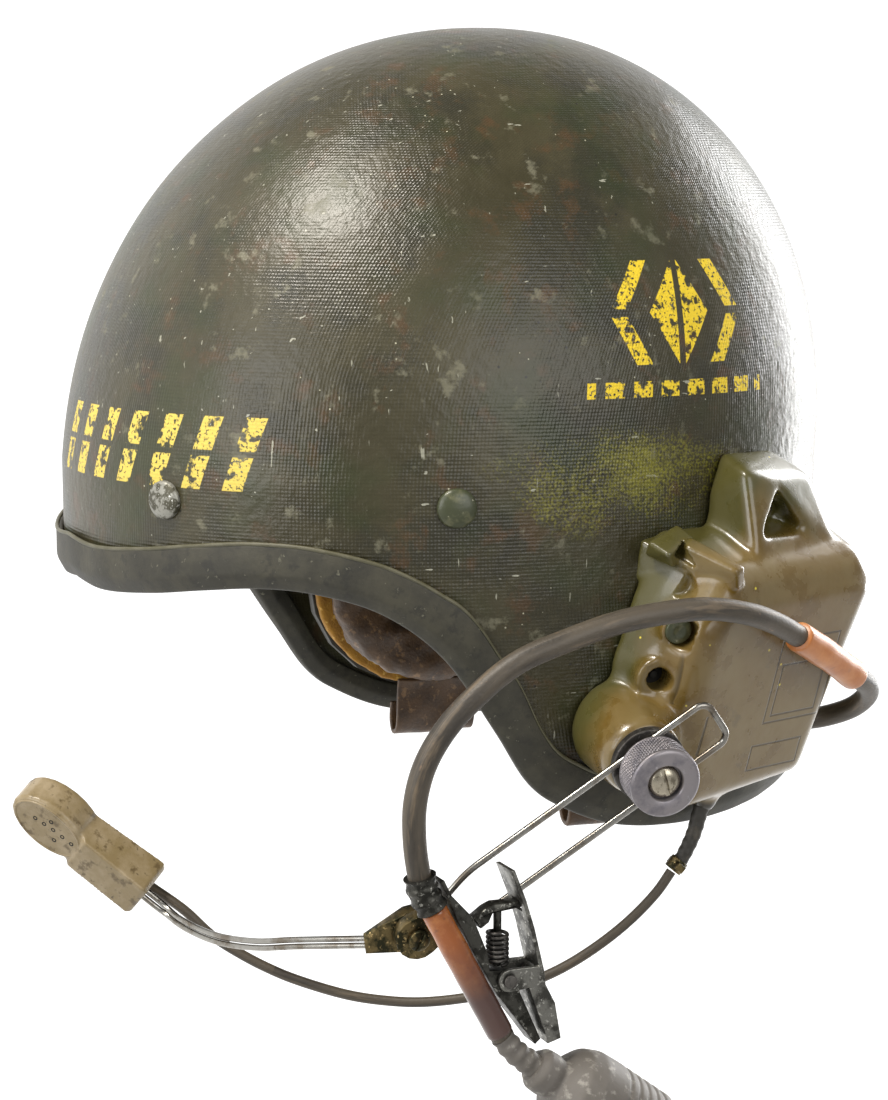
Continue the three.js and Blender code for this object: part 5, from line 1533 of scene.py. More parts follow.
@dataclass(frozen=True)
class EarSet:
    """Ear cup, foam ring, leather pad and leather tab of one side."""

    side: str
    sign: int
    y: float = 27.0
    z: float = -207.0
    half: tuple[float, float] = (49.0, 46.0)
    foam_x: tuple[float, float] = (78.7, 83.7)
    pad_x: tuple[float, float] = (65.4, 78.4)
    hole: tuple[float, float] = (24.0, 20.0)
    tab_width: float = 34.0

    def build(self) -> None:
        """Make the four pieces."""
        cup = bevelled(merged_copy([f"ear_cup_{self.side}"], f"moulded_cup_{self.side}"), 0.8, 2)
        dress(cup, CUP_PLASTIC, ROOT, "cup_plastic", f"ear_cup_{self.side}")
        foam = self.cushion(
            f"foam_ring_{self.side}", self.foam_x, 1.0, (self.half[0] - 9.6, self.half[1] - 9.6), 1.6, 0.35,
            5,
        )
        dress(foam, AGED_FOAM, ROOT, "ear_foam", f"ear_foam_{self.side}")
        pad = self.cushion(f"leather_pad_{self.side}", self.pad_x, 4.0, self.hole, 5.0, 0.9, 11)
        dress(pad, LEATHER, ROOT, "leather", f"ear_pad_{self.side}")
        self.tab()

    def cushion(
        self, name: str, across: tuple[float, float], inset: float, hole: tuple[float, float], soft: float,
        creased: float, seed: int,
    ) -> Piece:
        """Make an oval ring with a rounded section: point = hole + (edge - hole) f, at x from low to high.

        Args:
            name: The piece's name.
            across: Its low and high x.
            inset: How far its edge lies inside the cup's.
            hole: Half sizes of its hole.
            soft: Radius of its rounded corners.
            creased: Height of its creases.
            seed: Seed of the creases.

        Returns:
            The new object.
        """
        low, high = across
        deep = self.half[0] - inset - hole[0]
        corners = [(0.0, 0.0), (0.0, deep), (high - low, deep), (high - low, 0.0)]
        section = np.vstack([even_span(a, b, 10) for a, b in zip(corners, corners[1:] + corners[:1])])
        section = rounded_box(section, high - low, deep, soft)
        angle = np.arange(160) * (2 * math.pi / 160)
        edge = np.stack([(self.half[0] - inset) * np.cos(angle), (self.half[1] - inset) * np.sin(angle)], -1)
        inner = np.stack([hole[0] * np.cos(angle), hole[1] * np.sin(angle)], -1)
        share = (section[:, 1] / deep)[:, None, None]
        flat = inner + (edge - inner) * share
        x = np.broadcast_to(low + section[:, :1], flat.shape[:2])
        points = np.stack([x, self.y + flat[..., 0], self.z + flat[..., 1]], -1)
        centre = np.array([(low + high) / 2, self.y, self.z])
        middle = np.stack([np.full_like(angle, centre[0]), *(centre[1:, None] + ((edge + inner) / 2).T)], -1)
        bulge = creased * (wander(points, 13, seed) + 0.6 * wander(points, 5, seed + 1)) - creased * 0.6
        points = points + unit(points - middle[None]) * bulge[..., None]
        return surface(name, points * [self.sign, 1, 1], along=True, sharp=70.0)

    def tab(self) -> None:
        """Make the crumpled leather loop under the pad: a strap bent through its profile, thickened."""
        top, x0 = self.z - self.half[1] + 3.7, 77.2
        profile = [(0, -0.4), (0.8, 3), (2.2, 15.4), (4.4, 21.1), (7.4, 22), (9.6, 18), (9.0, 9.9)]
        route = smooth_route([(x0 + out, 0, top - drop) for out, drop in profile], 1.0)
        across = np.linspace(-0.5, 0.5, 30) * self.tab_width
        points = route[:, None] + np.array([0, 1, 0]) * (self.y + 3 + across)[None, :, None]
        points = points + 0.9 * wander(points, 15, 21)[..., None] * np.array([0.8, 0.1, 0.5])
        piece = surface(
            f"leather_tab_{self.side}_strap", points * [self.sign, 1, 1], around=False, caps=False
        )
        thick = piece.modifiers.new("hide", "SOLIDIFY")
        thick.thickness = 1.9 * MM
        thick.offset = 0.0
        piece = bevelled(baked(piece), 0.5, 2, 50.0)
        dress(piece, LEATHER, ROOT, "leather", f"ear_tab_{self.side}")


def even_span(start: Sequence[float], end: Sequence[float], count: int) -> Array:
    """Split a span into even steps, without its end."""
    return np.linspace(start, end, count, endpoint=False)


def rounded_box(rows: Array, width: float, height: float, radius: float) -> Array:
    """Round the outline of a rectangle: points past the inner rectangle move onto a circle round its corner.

    Args:
        rows: Points on the outline from 0, 0 to width, height.
        width: First side.
        height: Second side.
        radius: Radius of the corners.

    Returns:
        The rounded points.
    """
    radius = min(radius, width / 2, height / 2)
    inner = np.clip(rows, radius, [width - radius, height - radius])
    return inner + unit(rows - inner) * radius


@dataclass(frozen=True)
class BoxFrame:
    """Directions of the switch box: along to the rear, up its face, and out of it."""

    at: Triple = (112.0, 40.0, -215.0)
    along: Triple = (-0.34202, 0.93969, 0.0)
    up: Triple = (0.2747, 0.1, 0.9563)
    out: Triple = (0.8986, 0.3271, -0.2924)

    def point(self, along: float, up: float, out: float) -> Array:
        """Place a point on the box."""
        return (
            np.asarray(self.at) + along * np.asarray(self.along) + up * np.asarray(self.up)
            + out * np.asarray(self.out)
        )


BOX = BoxFrame()
KNOB_AT = np.array([148.9, 12.1, -236.0])
KNOB_AXIS = unit([0.976, -0.096, -0.192])


@dataclass(frozen=True)
class SwitchBox:
    """The switch box: one varnished moulding with its screw, button, socket and the cord's gland."""

    gland_r: float = 6.0
    gland_at: Triple = (54.1, -22, 8.5)
    gland_ahead: Triple = (62.2, -22.85, 9.1)
    button_at: Triple = (-19.3, 24.6, 15)
    contact_at: Triple = (-23.6, 7.2, 14)
    notch_at: Triple = (-19.6, 39.0, 12)
    screw_along: float = 26.4
    screw_up: float = 57.64
    voxels: Triple = (0.9, 0.7, 0.62)
    passes: tuple[int, int, int] = (44, 7, 3)
    outer_flange: Points = (
        (-24, 49, -4), (-9, 53.5, -6), (-9, 52, 3), (-24, 48.5, 6), (-22, 43, -6), (-10, 46, -6),
        (-10, 46, 4), (-20, 43, 6),
    )
    inner_flange: Points = (
        (-13, 53.5, 3), (-6, 50, 24), (-11, 49.5, 25), (-18, 51.5, 7), (-13, 45, 3), (-4, 44, 24),
        (-9, 42, 25), (-17, 44, 7),
    )
    hood_body: Points = (
        (-19, 46, -12), (4, 50, -12), (6, 46, 20), (-15, 44, 12), (-20, 33, -10), (0, 25, -10), (2, 25, 20),
        (-14, 32, 14),
    )
    hollow: Points = (
        (-21.5, 48.0, 9), (-13.5, 52, 6), (-14.5, 44.5, 12), (-20, 47.5, 0), (-13.5, 50.5, -1),
        (-15, 45.5, 1),
    )
    pocket: Points = (
        (24.0, 67.0, 18), (12.8, 54, 22), (36.0, 52.5, 22), (23.8, 63.8, 4.2), (18.0, 56.2, 4.6),
        (31.5, 55.6, 5.2),
    )

    def build(self) -> None:
        """Make the moulding, then what is on it."""
        box = self.moulding()
        dress(box, BOX_VARNISH, ROOT, "box_enamel", "switch_box", "box_cover")
        screw = bevelled(merged_copy(["box_screw"], "ear_screw_brass"), 0.35)
        slot = block(
            "ear_screw_slot", BOX.point(self.screw_along, self.screw_up, 1.9), (BOX.up, BOX.along, BOX.out),
            (6, 0.45, 0.9),
        )
        dress(cut(screw, slot), OLD_BRASS, ROOT, "brass", "box_screw")
        button = turned(
            "press_button", BOX.point(*self.button_at[:2], self.button_at[2] - 2.8), KNOB_AXIS,
            rounded([(0, 0), (0, 4.5), (3.6, 4.5), (4.0, 2.4), (3.2, 0)], 0.6), 40,
        )
        dress(button, GREEN_PAINT, ROOT, "box_enamel")
        # painted shade: a near-black floor at the bottom of the socket's hole
        contact = turned("socket_floor", BOX.point(*self.contact_at) - KNOB_AXIS * 6.8, KNOB_AXIS, [
            (0, 0), (0, 3.7), (0.6, 3.7), (0.8, 1.3), (2.6, 1.2), (2.8, 0)], 32)
        dress(contact, PAINTED_HOLE_SHADE, ROOT, "box_enamel")
        self.gland()

    def wedge(self, name: str, rows: Sequence[Sequence[float]]) -> Piece:
        """Make the convex body round points on the box."""
        work = bmesh.new()
        for row in rows:
            work.verts.new(BOX.point(*row) * MM)
        bmesh.ops.convex_hull(work, input=work.verts)
        mesh = bpy.data.meshes.new(name)
        work.to_mesh(mesh)
        work.free()
        return as_piece(name, mesh)

    def drum(self, name: str, at: Array, radius: float, low: float, high: float) -> Piece:
        """Make a round body square to the box's face or boss, for cutting or joining."""
        return turned(name, at, KNOB_AXIS, [(low, 0), (low, radius), (high, radius), (high, 0)], 40)

    def joined(self, piece: Piece, *others: Piece) -> Piece:
        """Put other closed bodies into a piece's mesh, where an even grid then merges them."""
        work = bmesh.new()
        for part in (piece, *others):
            work.from_mesh(part.data)
        work.to_mesh(piece.data)
        work.free()
        for part in others:
            bpy.data.objects.remove(part)
        return piece

    def moulding(self) -> Piece:
        """Make the moulding: the main body rounded strongly, its flanges and bosses added, its recesses cut.

        Returns:
            The new object.
        """
        body = moulded(
            merged_copy(["switch_box", "box_cover"], "box_moulding"), self.voxels[0], self.passes[0]
        )
        button, contact = BOX.point(*self.button_at), BOX.point(*self.contact_at)
        body = moulded(
            self.joined(
                body, self.wedge("outer_flange", self.outer_flange),
                self.wedge("inner_flange", self.inner_flange), self.wedge("hood_body", self.hood_body),
                self.drum("button_boss", button, 6.6, -14, 0),
                self.drum("contact_boss", contact, 7.4, -16, 0.3),
            ),
            self.voxels[1], self.passes[1],
        )
        cut(
            body, self.wedge("hollow", self.hollow), self.wedge("pocket", self.pocket),
            self.drum("notch", BOX.point(*self.notch_at), 4.6, -5, 12),
            self.drum("button_hole", button, 5, -2.6, 6), self.drum("contact_hole", contact, 4.0, -7, 6),
            turned(
                "screw_hole", BOX.point(self.screw_along, self.screw_up, 0.4), BOX.out,
                [(0, 0), (0, 3.7), (14, 3.7), (14, 0)], 32,
            ),
        )
        return moulded(body, self.voxels[2], self.passes[2])

    def gland(self) -> None:
        """Make the rubber sleeve where the cord leaves: a cone with shallow ribs."""
        start, ahead = BOX.point(*self.gland_at), BOX.point(*self.gland_ahead)
        axis = unit(unit(ahead - start) * 0.7 + np.asarray(BOX.along) * 0.3)
        steps = np.linspace(-18, -0.4, 60)
        radius = np.interp(steps, [-18, -4, -1.2, -0.4], [self.gland_r, self.gland_r - 0.3, 5.2, 4.6])
        radius = radius + 0.22 * np.cos(steps * 2.6)
        profile = [(steps[0], 0), *zip(steps, radius), (-0.2, 3.9), (-0.2, 0)]
        piece = turned("gland_sleeve", start, axis, profile, 40, sharp=60.0)
        dress(piece, BOOT_RUBBER, ROOT, "cord_rubber", "cord_gland")


@dataclass(frozen=True)
class Clamp:
    """The boom clamp: a flanged spool, a hub, a knurled knob and its slotted screw, all on one axis."""

    flange_r: float = 12.4
    flange: float = 3.2
    stud_r: float = 3.6
    hub_r: float = 6.8
    knob_r: float = 11.7
    knob_back: float = 5.9
    knob_front: float = 18.5
    recess_r: float = 6.0
    recess: float = 3.2
    screw_r: float = 5.4
    teeth: int = 46

    def build(self) -> None:
        """Make the four pieces."""
        spool = rounded([
            (0, 0), (0, self.flange_r), (self.flange, self.flange_r), (self.flange, self.stud_r + 0.1),
            (13.5, self.stud_r), (13.5, 0)], 0.5)
        dress(turned("spool_flange", KNOB_AT, KNOB_AXIS, spool, 72), DULL_STEEL, ROOT, "steel", "clamp_spool")
        low, bore = self.flange + 0.35, self.stud_r + 0.35
        hub = rounded(
            [(low, bore), (low, self.hub_r), (low + 2.25, self.hub_r), (low + 2.25, bore)], 0.4, True
        )
        dress(
            turned("pivot_hub", KNOB_AT, KNOB_AXIS, hub, 60, hollow=True), DULL_STEEL, CLAMP, "steel",
            "clamp_hub",
        )
        self.knurled_knob()
        self.screw()

    def knurled_knob(self) -> None:
        """Make the knob: diamond knurls 0.45 |sin(n t + k z)| |sin(n t - k z)| high between plain rims."""
        back, front = self.knob_back, self.knob_front
        band = np.linspace(back + 1.6, front - 2.0, 56)
        rows = [
            (back, self.stud_r + 0.35), (back, self.knob_r - 0.9), (back + 0.5, self.knob_r - 0.1),
            (back + 1.2, self.knob_r), (back + 1.5, self.knob_r - 0.5),
            *((z, self.knob_r - 0.5) for z in band), (front - 1.8, self.knob_r - 0.5),
            (front - 1.5, self.knob_r), (front - 0.7, self.knob_r - 0.1), (front - 0.1, self.knob_r - 0.9),
            (front, self.knob_r - 1.6), (front, self.recess_r + 0.5), (front - 0.4, self.recess_r),
            (front - self.recess, self.recess_r), (front - self.recess, self.stud_r + 0.35),
        ]
        count = self.teeth * 8
        lift = np.zeros((len(rows), count))
        turn = np.arange(count) * (2 * math.pi / count)
        pace = self.teeth / (2 * self.knob_r)
        first = np.abs(np.sin(turn[None] * self.teeth / 2 + band[:, None] * pace))
        second = np.abs(np.sin(turn[None] * self.teeth / 2 - band[:, None] * pace))
        lift[5 : 5 + len(band)] = 0.62 * np.minimum(first, second)
        piece = turned("knurled_knob", KNOB_AT, KNOB_AXIS, rows, count, hollow=True, sharp=70.0, lift=lift)
        dress(piece, KNOB_STEEL, KNOB, "steel", "knob")

    def screw(self) -> None:
        """Make the domed screw in the recess with a slot that leans 17 degrees."""
        floor = self.knob_front - self.recess
        dome = [
            (
                floor + 0.9 + 2.6 * math.sin(a), self.screw_r * math.cos(a)
            ) for a in np.linspace(0, math.pi / 2, 12)
        ]
        screw = turned(
            "domed_screw", KNOB_AT, KNOB_AXIS, [(floor + 0.1, 0), (floor + 0.1, self.screw_r), *dome], 60
        )
        side, up, out = frame_of(KNOB_AXIS)
        tilt = math.radians(17)
        long = up * math.cos(tilt) - side * math.sin(tilt)
        slot = block(
            "screw_slot", KNOB_AT + out * (floor + 3.4), (long, np.cross(out, long), out), (7, 0.65, 1.3))
        dress(cut(screw, slot), BRIGHT_SCREW, ROOT, "steel", "knob_screw")


def knob_point(along: float, across: float, out: float) -> Array:
    """Place a point in the plane of the boom: along its slope to the rear, across it, and out of the box."""
    side, up, axis = frame_of(KNOB_AXIS)
    slope = math.radians(35.3)
    rear = side * math.cos(slope) + up * math.sin(slope)
    return KNOB_AT + rear * along + np.cross(axis, rear) * across + axis * out


MIC_TAIL = np.array([44.5, -126.0, -291.0])
MIC_AXIS = unit([-0.34, -0.70, 0.63])
MIC_OUT = unit(np.array([0.62, -0.66, -0.40]) - MIC_AXIS * float(np.dot([0.62, -0.66, -0.40], MIC_AXIS)))
MIC_SIDE = np.cross(MIC_AXIS, MIC_OUT)


def mic_point(along: float, across: float, out: float) -> Array:
    """Place a point on the microphone."""
    return MIC_TAIL + MIC_AXIS * along + MIC_SIDE * across + MIC_OUT * out


@dataclass(frozen=True)
class Boom:
    """The wire boom, its swivel, the twin wires of the arm and the microphone."""

    wire_r: float = 1.15
    arm_r: float = 1.0
    arm_spacing: float = 2.3
    wire_out: float = 4.55
    arm_points: Points = (
        (128.0, -76.8, -292.2), (107, -94.0, -296.4), (93, -103.2, -299.6), (76, -112, -301.0),
        (60, -118.8, -299.2),
    )
    holes: tuple[tuple[float, float], ...] = (
        (45.4, 0.4), (40.3, 3.9), (41.8, 0.9), (38.1, 1.4), (34.2, 1.5), (35.7, -2.4), (30.3, 1.5),
    )

    def build(self) -> None:
        """Make the boom from the clamp to the microphone."""
        half, end = 8.2, 93 - 8.2 - 0.3
        legs = [
            (-end, half * 0.45), (-68, half), (24.1, half), (26.5, half * 0.7), (26.5, -half * 0.7),
            (24.1, -half), (-68, -half), (-end, -half * 0.45),
        ]
        route = bent_route([knob_point(a, b, self.wire_out) for a, b in legs], 4.5, 0.9)
        dress(tube("boom_wire", route, self.wire_r, 20), SPRING_WIRE, BOOM, "wire_steel", "wire_loop")
        outer = bevelled(merged_copy(["swivel_block"], "swivel_casting"), 0.9)
        dress(outer, OLD_BRASS, BOOM, "brass", "swivel_block")
        inner = bevelled(merged_copy(["arm_block"], "arm_casting"), 0.9)
        dress(inner, OLD_BRASS, MIC_BOOM, "brass", "arm_block")
        screw = bevelled(merged_copy(["swivel_screw"], "swivel_screw_brass"), 0.4)
        side, up, out = frame_of(KNOB_AXIS)
        slot = block(
            "swivel_slot", knob_point(-93, 0, 9.6), (up + side * 0.4, side - up * 0.4, out), (5, 0.4, 0.8)
        )
        dress(cut(screw, slot), OLD_BRASS, BOOM, "brass", "swivel_screw")
        self.arm()
        self.microphone()

    def arm(self) -> None:
        """Lay the two wires side by side: the middle line shifted by half their spacing either way."""
        middle = smooth_route([*self.arm_points, mic_point(-9, 2.5, 4.2), mic_point(1.5, 2.5, 4.2)], 1.0)
        tangents = unit(np.gradient(middle, axis=0))
        across = unit(np.array([0, 0, 1]) - tangents * tangents[:, 2:])
        for which, shift in (("upper", 1), ("lower", -1)):
            piece = tube(f"arm_wire_{which}", middle + across * shift * self.arm_spacing / 2, self.arm_r, 18)
            dress(piece, SPRING_WIRE, MIC_BOOM, "wire_steel", f"mic_wire_{which}")

    def microphone(self) -> None:
        """Make the microphone: one soft casting, a raised border and the sound holes."""
        body = moulded(merged_copy(["mic_body"], "mic_casting"), 0.5, 5)
        dress(body, MIC_ENAMEL, MIC_BOOM, "mic_enamel", "mic_body")
        angle = np.arange(120) * (2 * math.pi / 120)
        centre = [mic_point(40 + 13.2 * math.cos(a), 8.3 * math.sin(a), 6.6) for a in angle]
        section = np.arange(10) * (math.pi / 5)
        radial = unit(np.asarray(centre) - mic_point(40, 0, 6.6))
        grid = (
            np.asarray(centre)[None] + 0.55 * np.cos(section)[:, None, None] * radial[None]
            + 0.45 * np.sin(section)[:, None, None] * MIC_OUT
        )
        dress(surface("mic_border", grid, along=True), MIC_ENAMEL, MIC_BOOM, "mic_enamel")
        # painted shade: the sound holes are not cut, they are dark discs laid on the face
        for i, (along, across) in enumerate(self.holes):
            hole = turned(f"sound_hole_{i + 1}", mic_point(along, across, 6.3), MIC_OUT, [
                (0, 0), (0, 0.85), (0.5, 0.85), (0.52, 0.6), (0.3, 0.0)], 20)
            dress(hole, PAINTED_HOLE_SHADE, MIC_BOOM, "mic_enamel")


@dataclass(frozen=True)
class Cords:
    """The main cord with its sleeves and plug, and the microphone's cord."""

    cord_r: float = 3.75
    mic_cord_r: float = 1.75
    rear: Points = (
        (95.1, 91.4, -238.5), (92.6, 99.1, -239.5), (94.9, 108.2, -238.7), (103.4, 114.5, -234.5),
        (113.9, 114.7, -228.1), (123.7, 108.6, -221.9), (130.6, 100.0, -217.2),
    )
    upper: Points = ((130.9, 99.6, -217.0), (141.5, 82.4, -206.9), (150.0, 66.6, -198.2))
    front: Points = (
        (150.2, 66.2, -198.0), (156.2, 54.0, -191.9), (161.6, 40.6, -187.2), (164.6, 25.0, -184.4),
        (165.6, 10.0, -184.6), (165.6, -6.0, -186.6), (164.8, -23.0, -191.2), (163.4, -40.0, -197.6),
        (162.0, -53.0, -207.2), (160.4, -62.8, -217.6), (159.2, -69.2, -228.8), (158.2, -72.0, -240.6),
        (157.2, -71.8, -252.8), (156.3, -70.0, -263.6),
    )
    collar: Points = ((156.3, -69.8, -264.3), (156, -68.4, -269.5), (156, -65.4, -275.0))
    lower: Points = ((156, -65.2, -275.3), (156, -53.6, -297), (156, -42.0, -318.6))
    neck: Points = ((156, -41.5, -319.5), (156.4, -37.6, -324.6), (157, -31.4, -329.8))
    mic: Points = (
        (47.6, -114.0, -298.6), (51.6, -105.2, -307.6), (56, -96.4, -313.8), (60, -88.0, -318.6),
        (64, -79.6, -322.4), (72, -63.1, -327.6), (78, -50.7, -329.4), (83, -40.5, -329.6),
        (89, -27.7, -328.0), (95, -14.2, -324.9), (100, -0.7, -319.8), (104, 11.3, -312.9),
        (108, 24.9, -302.4), (110.6, 35.4, -291.6), (111.4, 40.6, -284.4),
    )
    boot: Points = ((112.1, 44.3, -279.9), (112.6, 48.2, -272), (113.2, 50.6, -263.4))
    plug_axis: Triple = (0.02, 0.80, -0.60)

    def build(self) -> None:
        """Make both cords and what is on them."""
        fittings = [
            self.sleeve_upper(), self.ribbed_collar(), self.sleeve_lower(), self.plug_neck(), self.plug()
        ]
        self.main_cord()
        self.mic_cords()
        self.union()

    def main_cord(self) -> None:
        """Lay the main cord in one run through its sleeves, from the gland to the plug's neck.
        """
        points = [*self.rear, *self.upper[1:2], *self.front, *self.collar[1:2], *self.lower[:2], self.neck[0]]
        route = smooth_route(points, 1.5)
        radii = self.cord_r + 0.05 * wander(route, 25, 8)
        cord = tube("intercom_cord", route, radii, 32)
        dress(cord, CORD_JACKET, ROOT, "cord_rubber", "main_cord_rear", "main_cord_front")

    def sleeve_upper(self) -> Piece:
        """Make the orange sleeve."""
        piece = self.sleeve("orange_sleeve", self.upper, 5.1, 0.12)
        return dress(piece, ORANGE_VINYL, ROOT, "sleeve_orange", "cord_sleeve_upper")

    def sleeve_lower(self) -> Piece:
        """Make the copper sleeve."""
        piece = self.sleeve("copper_sleeve", self.lower, 4.3, 0.08)
        return dress(piece, COPPER_VINYL, ROOT, "sleeve_copper", "cord_sleeve_lower")

    def sleeve(self, name: str, points: Sequence[Sequence[float]], radius: float, uneven: float) -> Piece:
        """Make a sleeve: a tube whose ends are rounded over a millimetre.

        Args:
            name: The piece's name.
            points: Its route.
            radius: Its radius.
            uneven: Height of its unevenness.

        Returns:
            The new object.
        """
        route = smooth_route(points, 0.5)
        run = np.linspace(0, 1, len(route)) * len(route) * 0.5
        from_end = np.minimum(run, run[::-1])
        fall = 1.0 * (1 - np.sqrt(np.clip(1 - (1 - np.clip(from_end, 0, 1)) ** 2, 0, 1)))
        return tube(name, route, radius - fall + uneven * wander(route, 12, 4), 40)

    def ribbed_collar(self) -> Piece:
        """Make the dark steel collar with its three ridges."""
        route = smooth_route(self.collar, 0.3)
        run = np.linspace(0, 1, len(route))
        ridge = 0.55 * (0.5 + 0.5 * np.cos(run * 2 * math.pi * 3)) ** 1.5
        return dress(
            tube("ridged_collar", route, 4.75 + ridge, 48, 60.0), CLIP_STEEL, ROOT, "dark_steel",
            "cord_collar",
        )

    def plug_neck(self) -> Piece:
        """Make the boot behind the plug with its ribs."""
        route = smooth_route([*self.neck, np.asarray(self.neck[-1]) + 1.2 * unit(self.plug_axis)], 0.3)
        run = np.linspace(0, 1, len(route))
        radii = 3.75 + 0.4 * run + 0.22 * np.cos(run * 2 * math.pi * 4)
        return dress(tube("plug_boot", route, radii, 40, 60.0), PLUG_RUBBER, ROOT, "plug_rubber", "plug_neck")

    def plug(self) -> Piece:
        """Make the plug: a bulb, a dome and a plain barrel with grip grooves."""
        start = np.asarray(self.neck[-1]) + 0.3 * unit(self.plug_axis)
        outline = np.array([
            (0, 5.2), (2, 7.1), (6, 7.35), (9, 6.6), (10.5, 9.9), (14, 13.8), (19, 15.7), (26, 16), (48, 16),
            (49, 14.6), (62, 14.1),
        ])
        steps = np.linspace(0, 62, 190)
        radius = np.interp(steps, outline[:, 0], outline[:, 1])
        kernel = np.hanning(9) / np.hanning(9).sum()
        radius = np.convolve(np.pad(radius, 4, mode="edge"), kernel, "valid")
        groove = (steps > 27) & (steps < 46)
        radius = radius - np.where(groove, 0.5 * np.abs(np.sin((steps - 27) * math.pi / 3.8)) ** 6, 0)
        profile = [(0, 0), *zip(steps, radius), (62, 0)]
        piece = turned("plug_body", start, self.plug_axis, profile, 80, sharp=50.0)
        return dress(piece, PLUG_RUBBER, ROOT, "plug_rubber", "plug")

    def mic_cords(self) -> None:
        """Lay the microphone's cord in three runs."""
        route = smooth_route([mic_point(-0.3, -2.5, -4.2), *self.mic][::-1], 1.2)
        marks = [0, 66, 128, len(route) - 1]
        for i in range(3):
            run = route[marks[i] : marks[i + 1] + 1]
            names = ("mic_cord",) if i == 0 else ()
            piece = tube(f"mic_lead_{i + 1}", run, self.mic_cord_r, 22)
            piece.data.materials.append(CORD_JACKET.material())
            if names:
                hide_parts(*names)
            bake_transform(piece)

    def union(self) -> None:
        """Make the brass union and the boot between the microphone's cord and the box."""
        ferrule = bevelled(merged_copy(["mic_cord_ferrule"], "union_nut"), 0.5)
        dress(ferrule, OLD_BRASS, ROOT, "brass", "mic_cord_ferrule")
        route = smooth_route([(111.95, 43.8, -280.6), *self.boot, (113.6, 52.0, -259.4)], 0.5)
        run = np.linspace(0, 1, len(route))
        radii = 2.5 + 0.25 * run + 0.1 * np.cos(run * 2 * math.pi * 7)
        dress(tube("lead_boot", route, radii, 32, 60.0), BOOT_RUBBER, ROOT, "cord_rubber", "mic_cord_boot")


@dataclass(frozen=True)
class Clip:
    """The clothing clip: base plate, lever, yoke on its rod, coil spring and pin."""

    pin: Triple = (153.0, -40.3, -300.6)
    spring_r: float = 3.2
    wire_r: float = 0.62
    turns: float = 7.0

    def build(self) -> None:
        """Make the five pieces."""
        for node, label, finish, body in (
            ("clip_base", "clip_back_plate", CLIP_STEEL, ROOT),
            ("clip_lever", "clip_thumb_lever", LEVER_STEEL, JAW),
            ("clip_yoke", "clip_yoke_plate", CLIP_STEEL, ROOT),
            ("clip_pin", "clip_hinge_pin", DULL_STEEL, ROOT),
        ):
            piece = bevelled(merged_copy([node], label), 0.35, 2)
            dress(piece, finish, body, "dark_steel", node)
        self.spring()

    def spring(self) -> None:
        """Make the spring: a wire carried along a helix on the rod."""
        angle = np.linspace(0, 2 * math.pi * self.turns, int(self.turns * 36))
        foot = np.asarray(self.pin) + [0, -1.7, 3.7 + 0.7]
        height = np.linspace(0, 10.6, len(angle))
        route = foot + np.stack([self.spring_r * np.cos(angle), self.spring_r * np.sin(angle), height], -1)
        dress(tube("clip_coil", route, self.wire_r, 12), DULL_STEEL, ROOT, "dark_steel", "clip_spring")


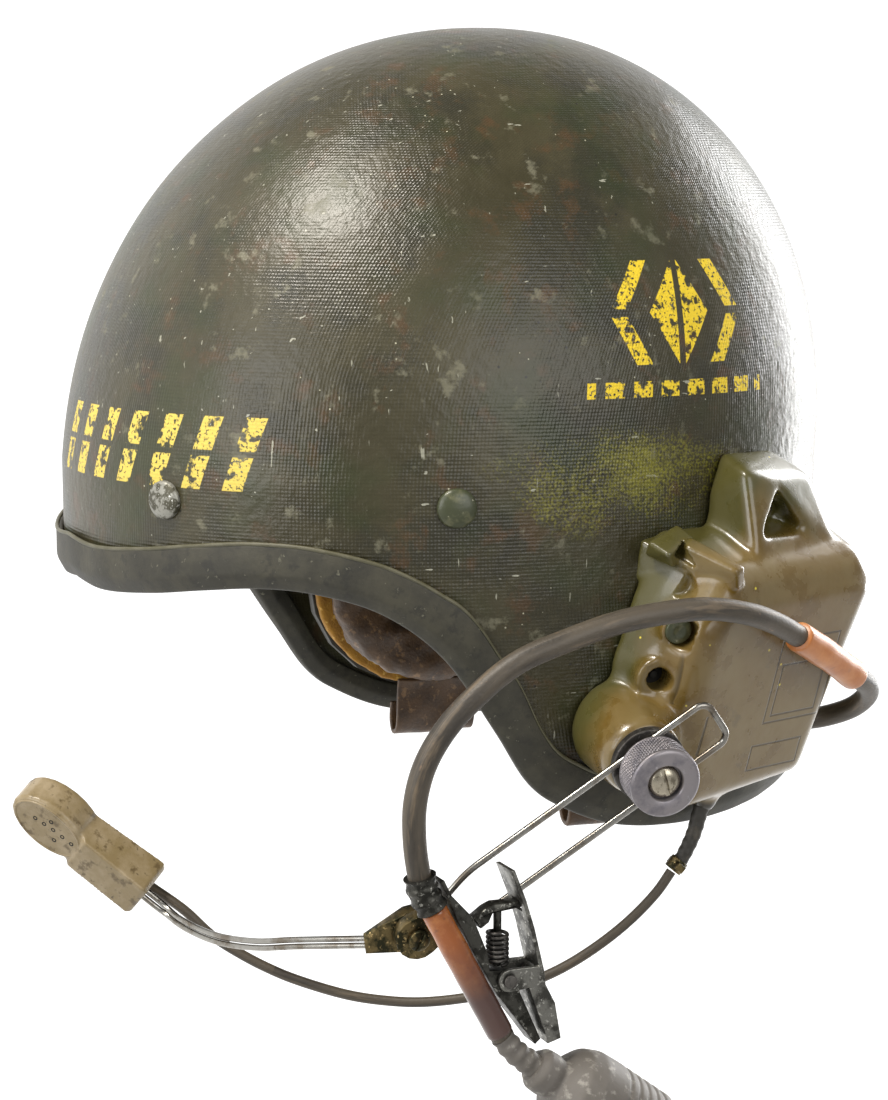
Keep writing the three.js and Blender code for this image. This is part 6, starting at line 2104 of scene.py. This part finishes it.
@dataclass(frozen=True)
class Studio:
    """Camera, lights and a round white cove that is closed all about the object and glows, bright behind it
    and dim on the camera's side.
    """

    eye: Triple = (0.9235, -0.3715, -0.0458)
    target: Triple = (0.0053, -0.0006, -0.1849)
    lens: float = 88.93
    floor: float = -0.66
    bright: float = 0.98
    dim: float = 0.16

    def camera(self) -> None:
        """Put the camera where the photograph was taken from."""
        data = bpy.data.cameras.new("camera")
        data.lens = self.lens
        data.sensor_width = 36.0
        data.sensor_fit = "AUTO"
        data.clip_start = 0.01
        camera = bpy.data.objects.new("camera", data)
        bpy.context.scene.collection.objects.link(camera)
        camera.location = self.eye
        camera.rotation_euler = self.facing(self.eye, self.target)
        bpy.context.scene.camera = camera

    def facing(self, eye: Sequence[float], target: Sequence[float]) -> Triple:
        """Turn something that looks along -Z from eye towards target, with its top up."""
        x, y, z = (float(b) - float(a) for a, b in zip(eye, target))
        return math.atan2(math.hypot(x, y), -z), 0.0, math.atan2(-x, y)

    def lamp(
        self, name: str, eye: Sequence[float], size: tuple[float, float], power: float,
        colour: str = "#FFFFFF",
    ) -> None:
        """Hang an area lamp that faces the object.

        Args:
            name: The lamp's name.
            eye: Where it hangs.
            size: Its two sides, in metres.
            power: Its power in watts.
            colour: Its colour.
        """
        data = bpy.data.lights.new(name, "AREA")
        data.shape = "RECTANGLE"
        data.size, data.size_y = size
        data.energy = power
        data.color = to_linear(colour)[:3]
        lamp = bpy.data.objects.new(name, data)
        bpy.context.scene.collection.objects.link(lamp)
        lamp.location = eye
        lamp.rotation_euler = self.facing(eye, self.target)

    def build(self) -> None:
        """Make the cove, the world and the lamps."""
        rows = [(0.0, 0.0), (1.6, 0.0)]
        rows += [
            (1.6 + 1.1 * math.sin(a), 1.1 - 1.1 * math.cos(a)) for a in np.linspace(0.06, math.pi / 2, 24)
        ]
        rows += [(2.7, 3.2)]
        turn = np.arange(96) * (2 * math.pi / 96)
        radius = np.array([max(r, 1e-3) for r, _ in rows])[:, None]
        height = np.array([h for _, h in rows])[:, None] + self.floor
        x, y, z = np.broadcast_arrays(radius * np.cos(turn), radius * np.sin(turn), height)
        mesh = bpy.data.meshes.new("white_cove")
        points = np.stack([x, y, z], -1)
        mesh.from_pydata(points.reshape(-1, 3).tolist(), [], grid_faces(len(rows), 96, True, False).tolist())
        mesh.flip_normals()
        mesh.shade_smooth()
        cove = as_piece("white_cove", mesh)
        # the cove glows: white emission graded from strong behind the object to dim on the camera's side, so
        # it lights the object as well as showing white
        glowing_paper = COVE_GLOW.material()
        shader = glowing_paper.node_tree.nodes["Principled BSDF"]
        shader.inputs["Base Color"].default_value = (0.3, 0.3, 0.3, 1)
        shader.inputs["Emission Color"].default_value = (1, 1, 1, 1)
        tree = glowing_paper.node_tree
        place = add_node(tree, "SeparateXYZ", {0: add_node(tree, "TexCoord").outputs["Object"]})
        glow = add_node(
            tree, "MapRange",
            {
                "Value": place.outputs["X"], "From Min": 0.5, "From Max": -0.35, "To Min": self.dim,
                "To Max": self.bright,
            },
            interpolation_type="SMOOTHSTEP",
        )
        tree.links.new(glow.outputs["Result"], shader.inputs["Emission Strength"])
        cove.data.materials.append(glowing_paper)
        world = bpy.data.worlds.new("soft_white")
        bpy.context.scene.world = world
        world.use_nodes = True
        world.node_tree.nodes["Background"].inputs["Color"].default_value = (1, 1, 1, 1)
        world.node_tree.nodes["Background"].inputs["Strength"].default_value = 0.35
        self.lamp("key", (0.22, -0.68, 1.0), (0.40, 0.26), 20.0, "#FFF8EE")
        self.lamp("left", (0.55, -1.25, 0.15), (0.8, 0.8), 9.0)
        self.lamp("rear", (-0.43, 1.29, 0.06), (0.5, 1.2), 22.0)
        self.lamp("front_fill", (1.25, 0.25, 0.25), (0.9, 0.9), 7.0)
        view = bpy.context.scene.view_settings
        view.view_transform = "Standard"
        view.look = "None"
        view.exposure = 0.0


def main() -> None:
    """Build the scene piece by piece."""
    logging.basicConfig(level=logging.INFO, format="%(message)s")
    CAD.update(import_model()["nodes"])
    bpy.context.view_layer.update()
    studio = Studio()
    studio.camera()
    Cords().build()
    Shell().build()
    for side, sign in (("left", 1), ("right", -1)):
        EarSet(side, sign).build()
    SwitchBox().build()
    Clamp().build()
    Boom().build()
    Clip().build()
    studio.build()


if __name__ == "__main__":
    main()
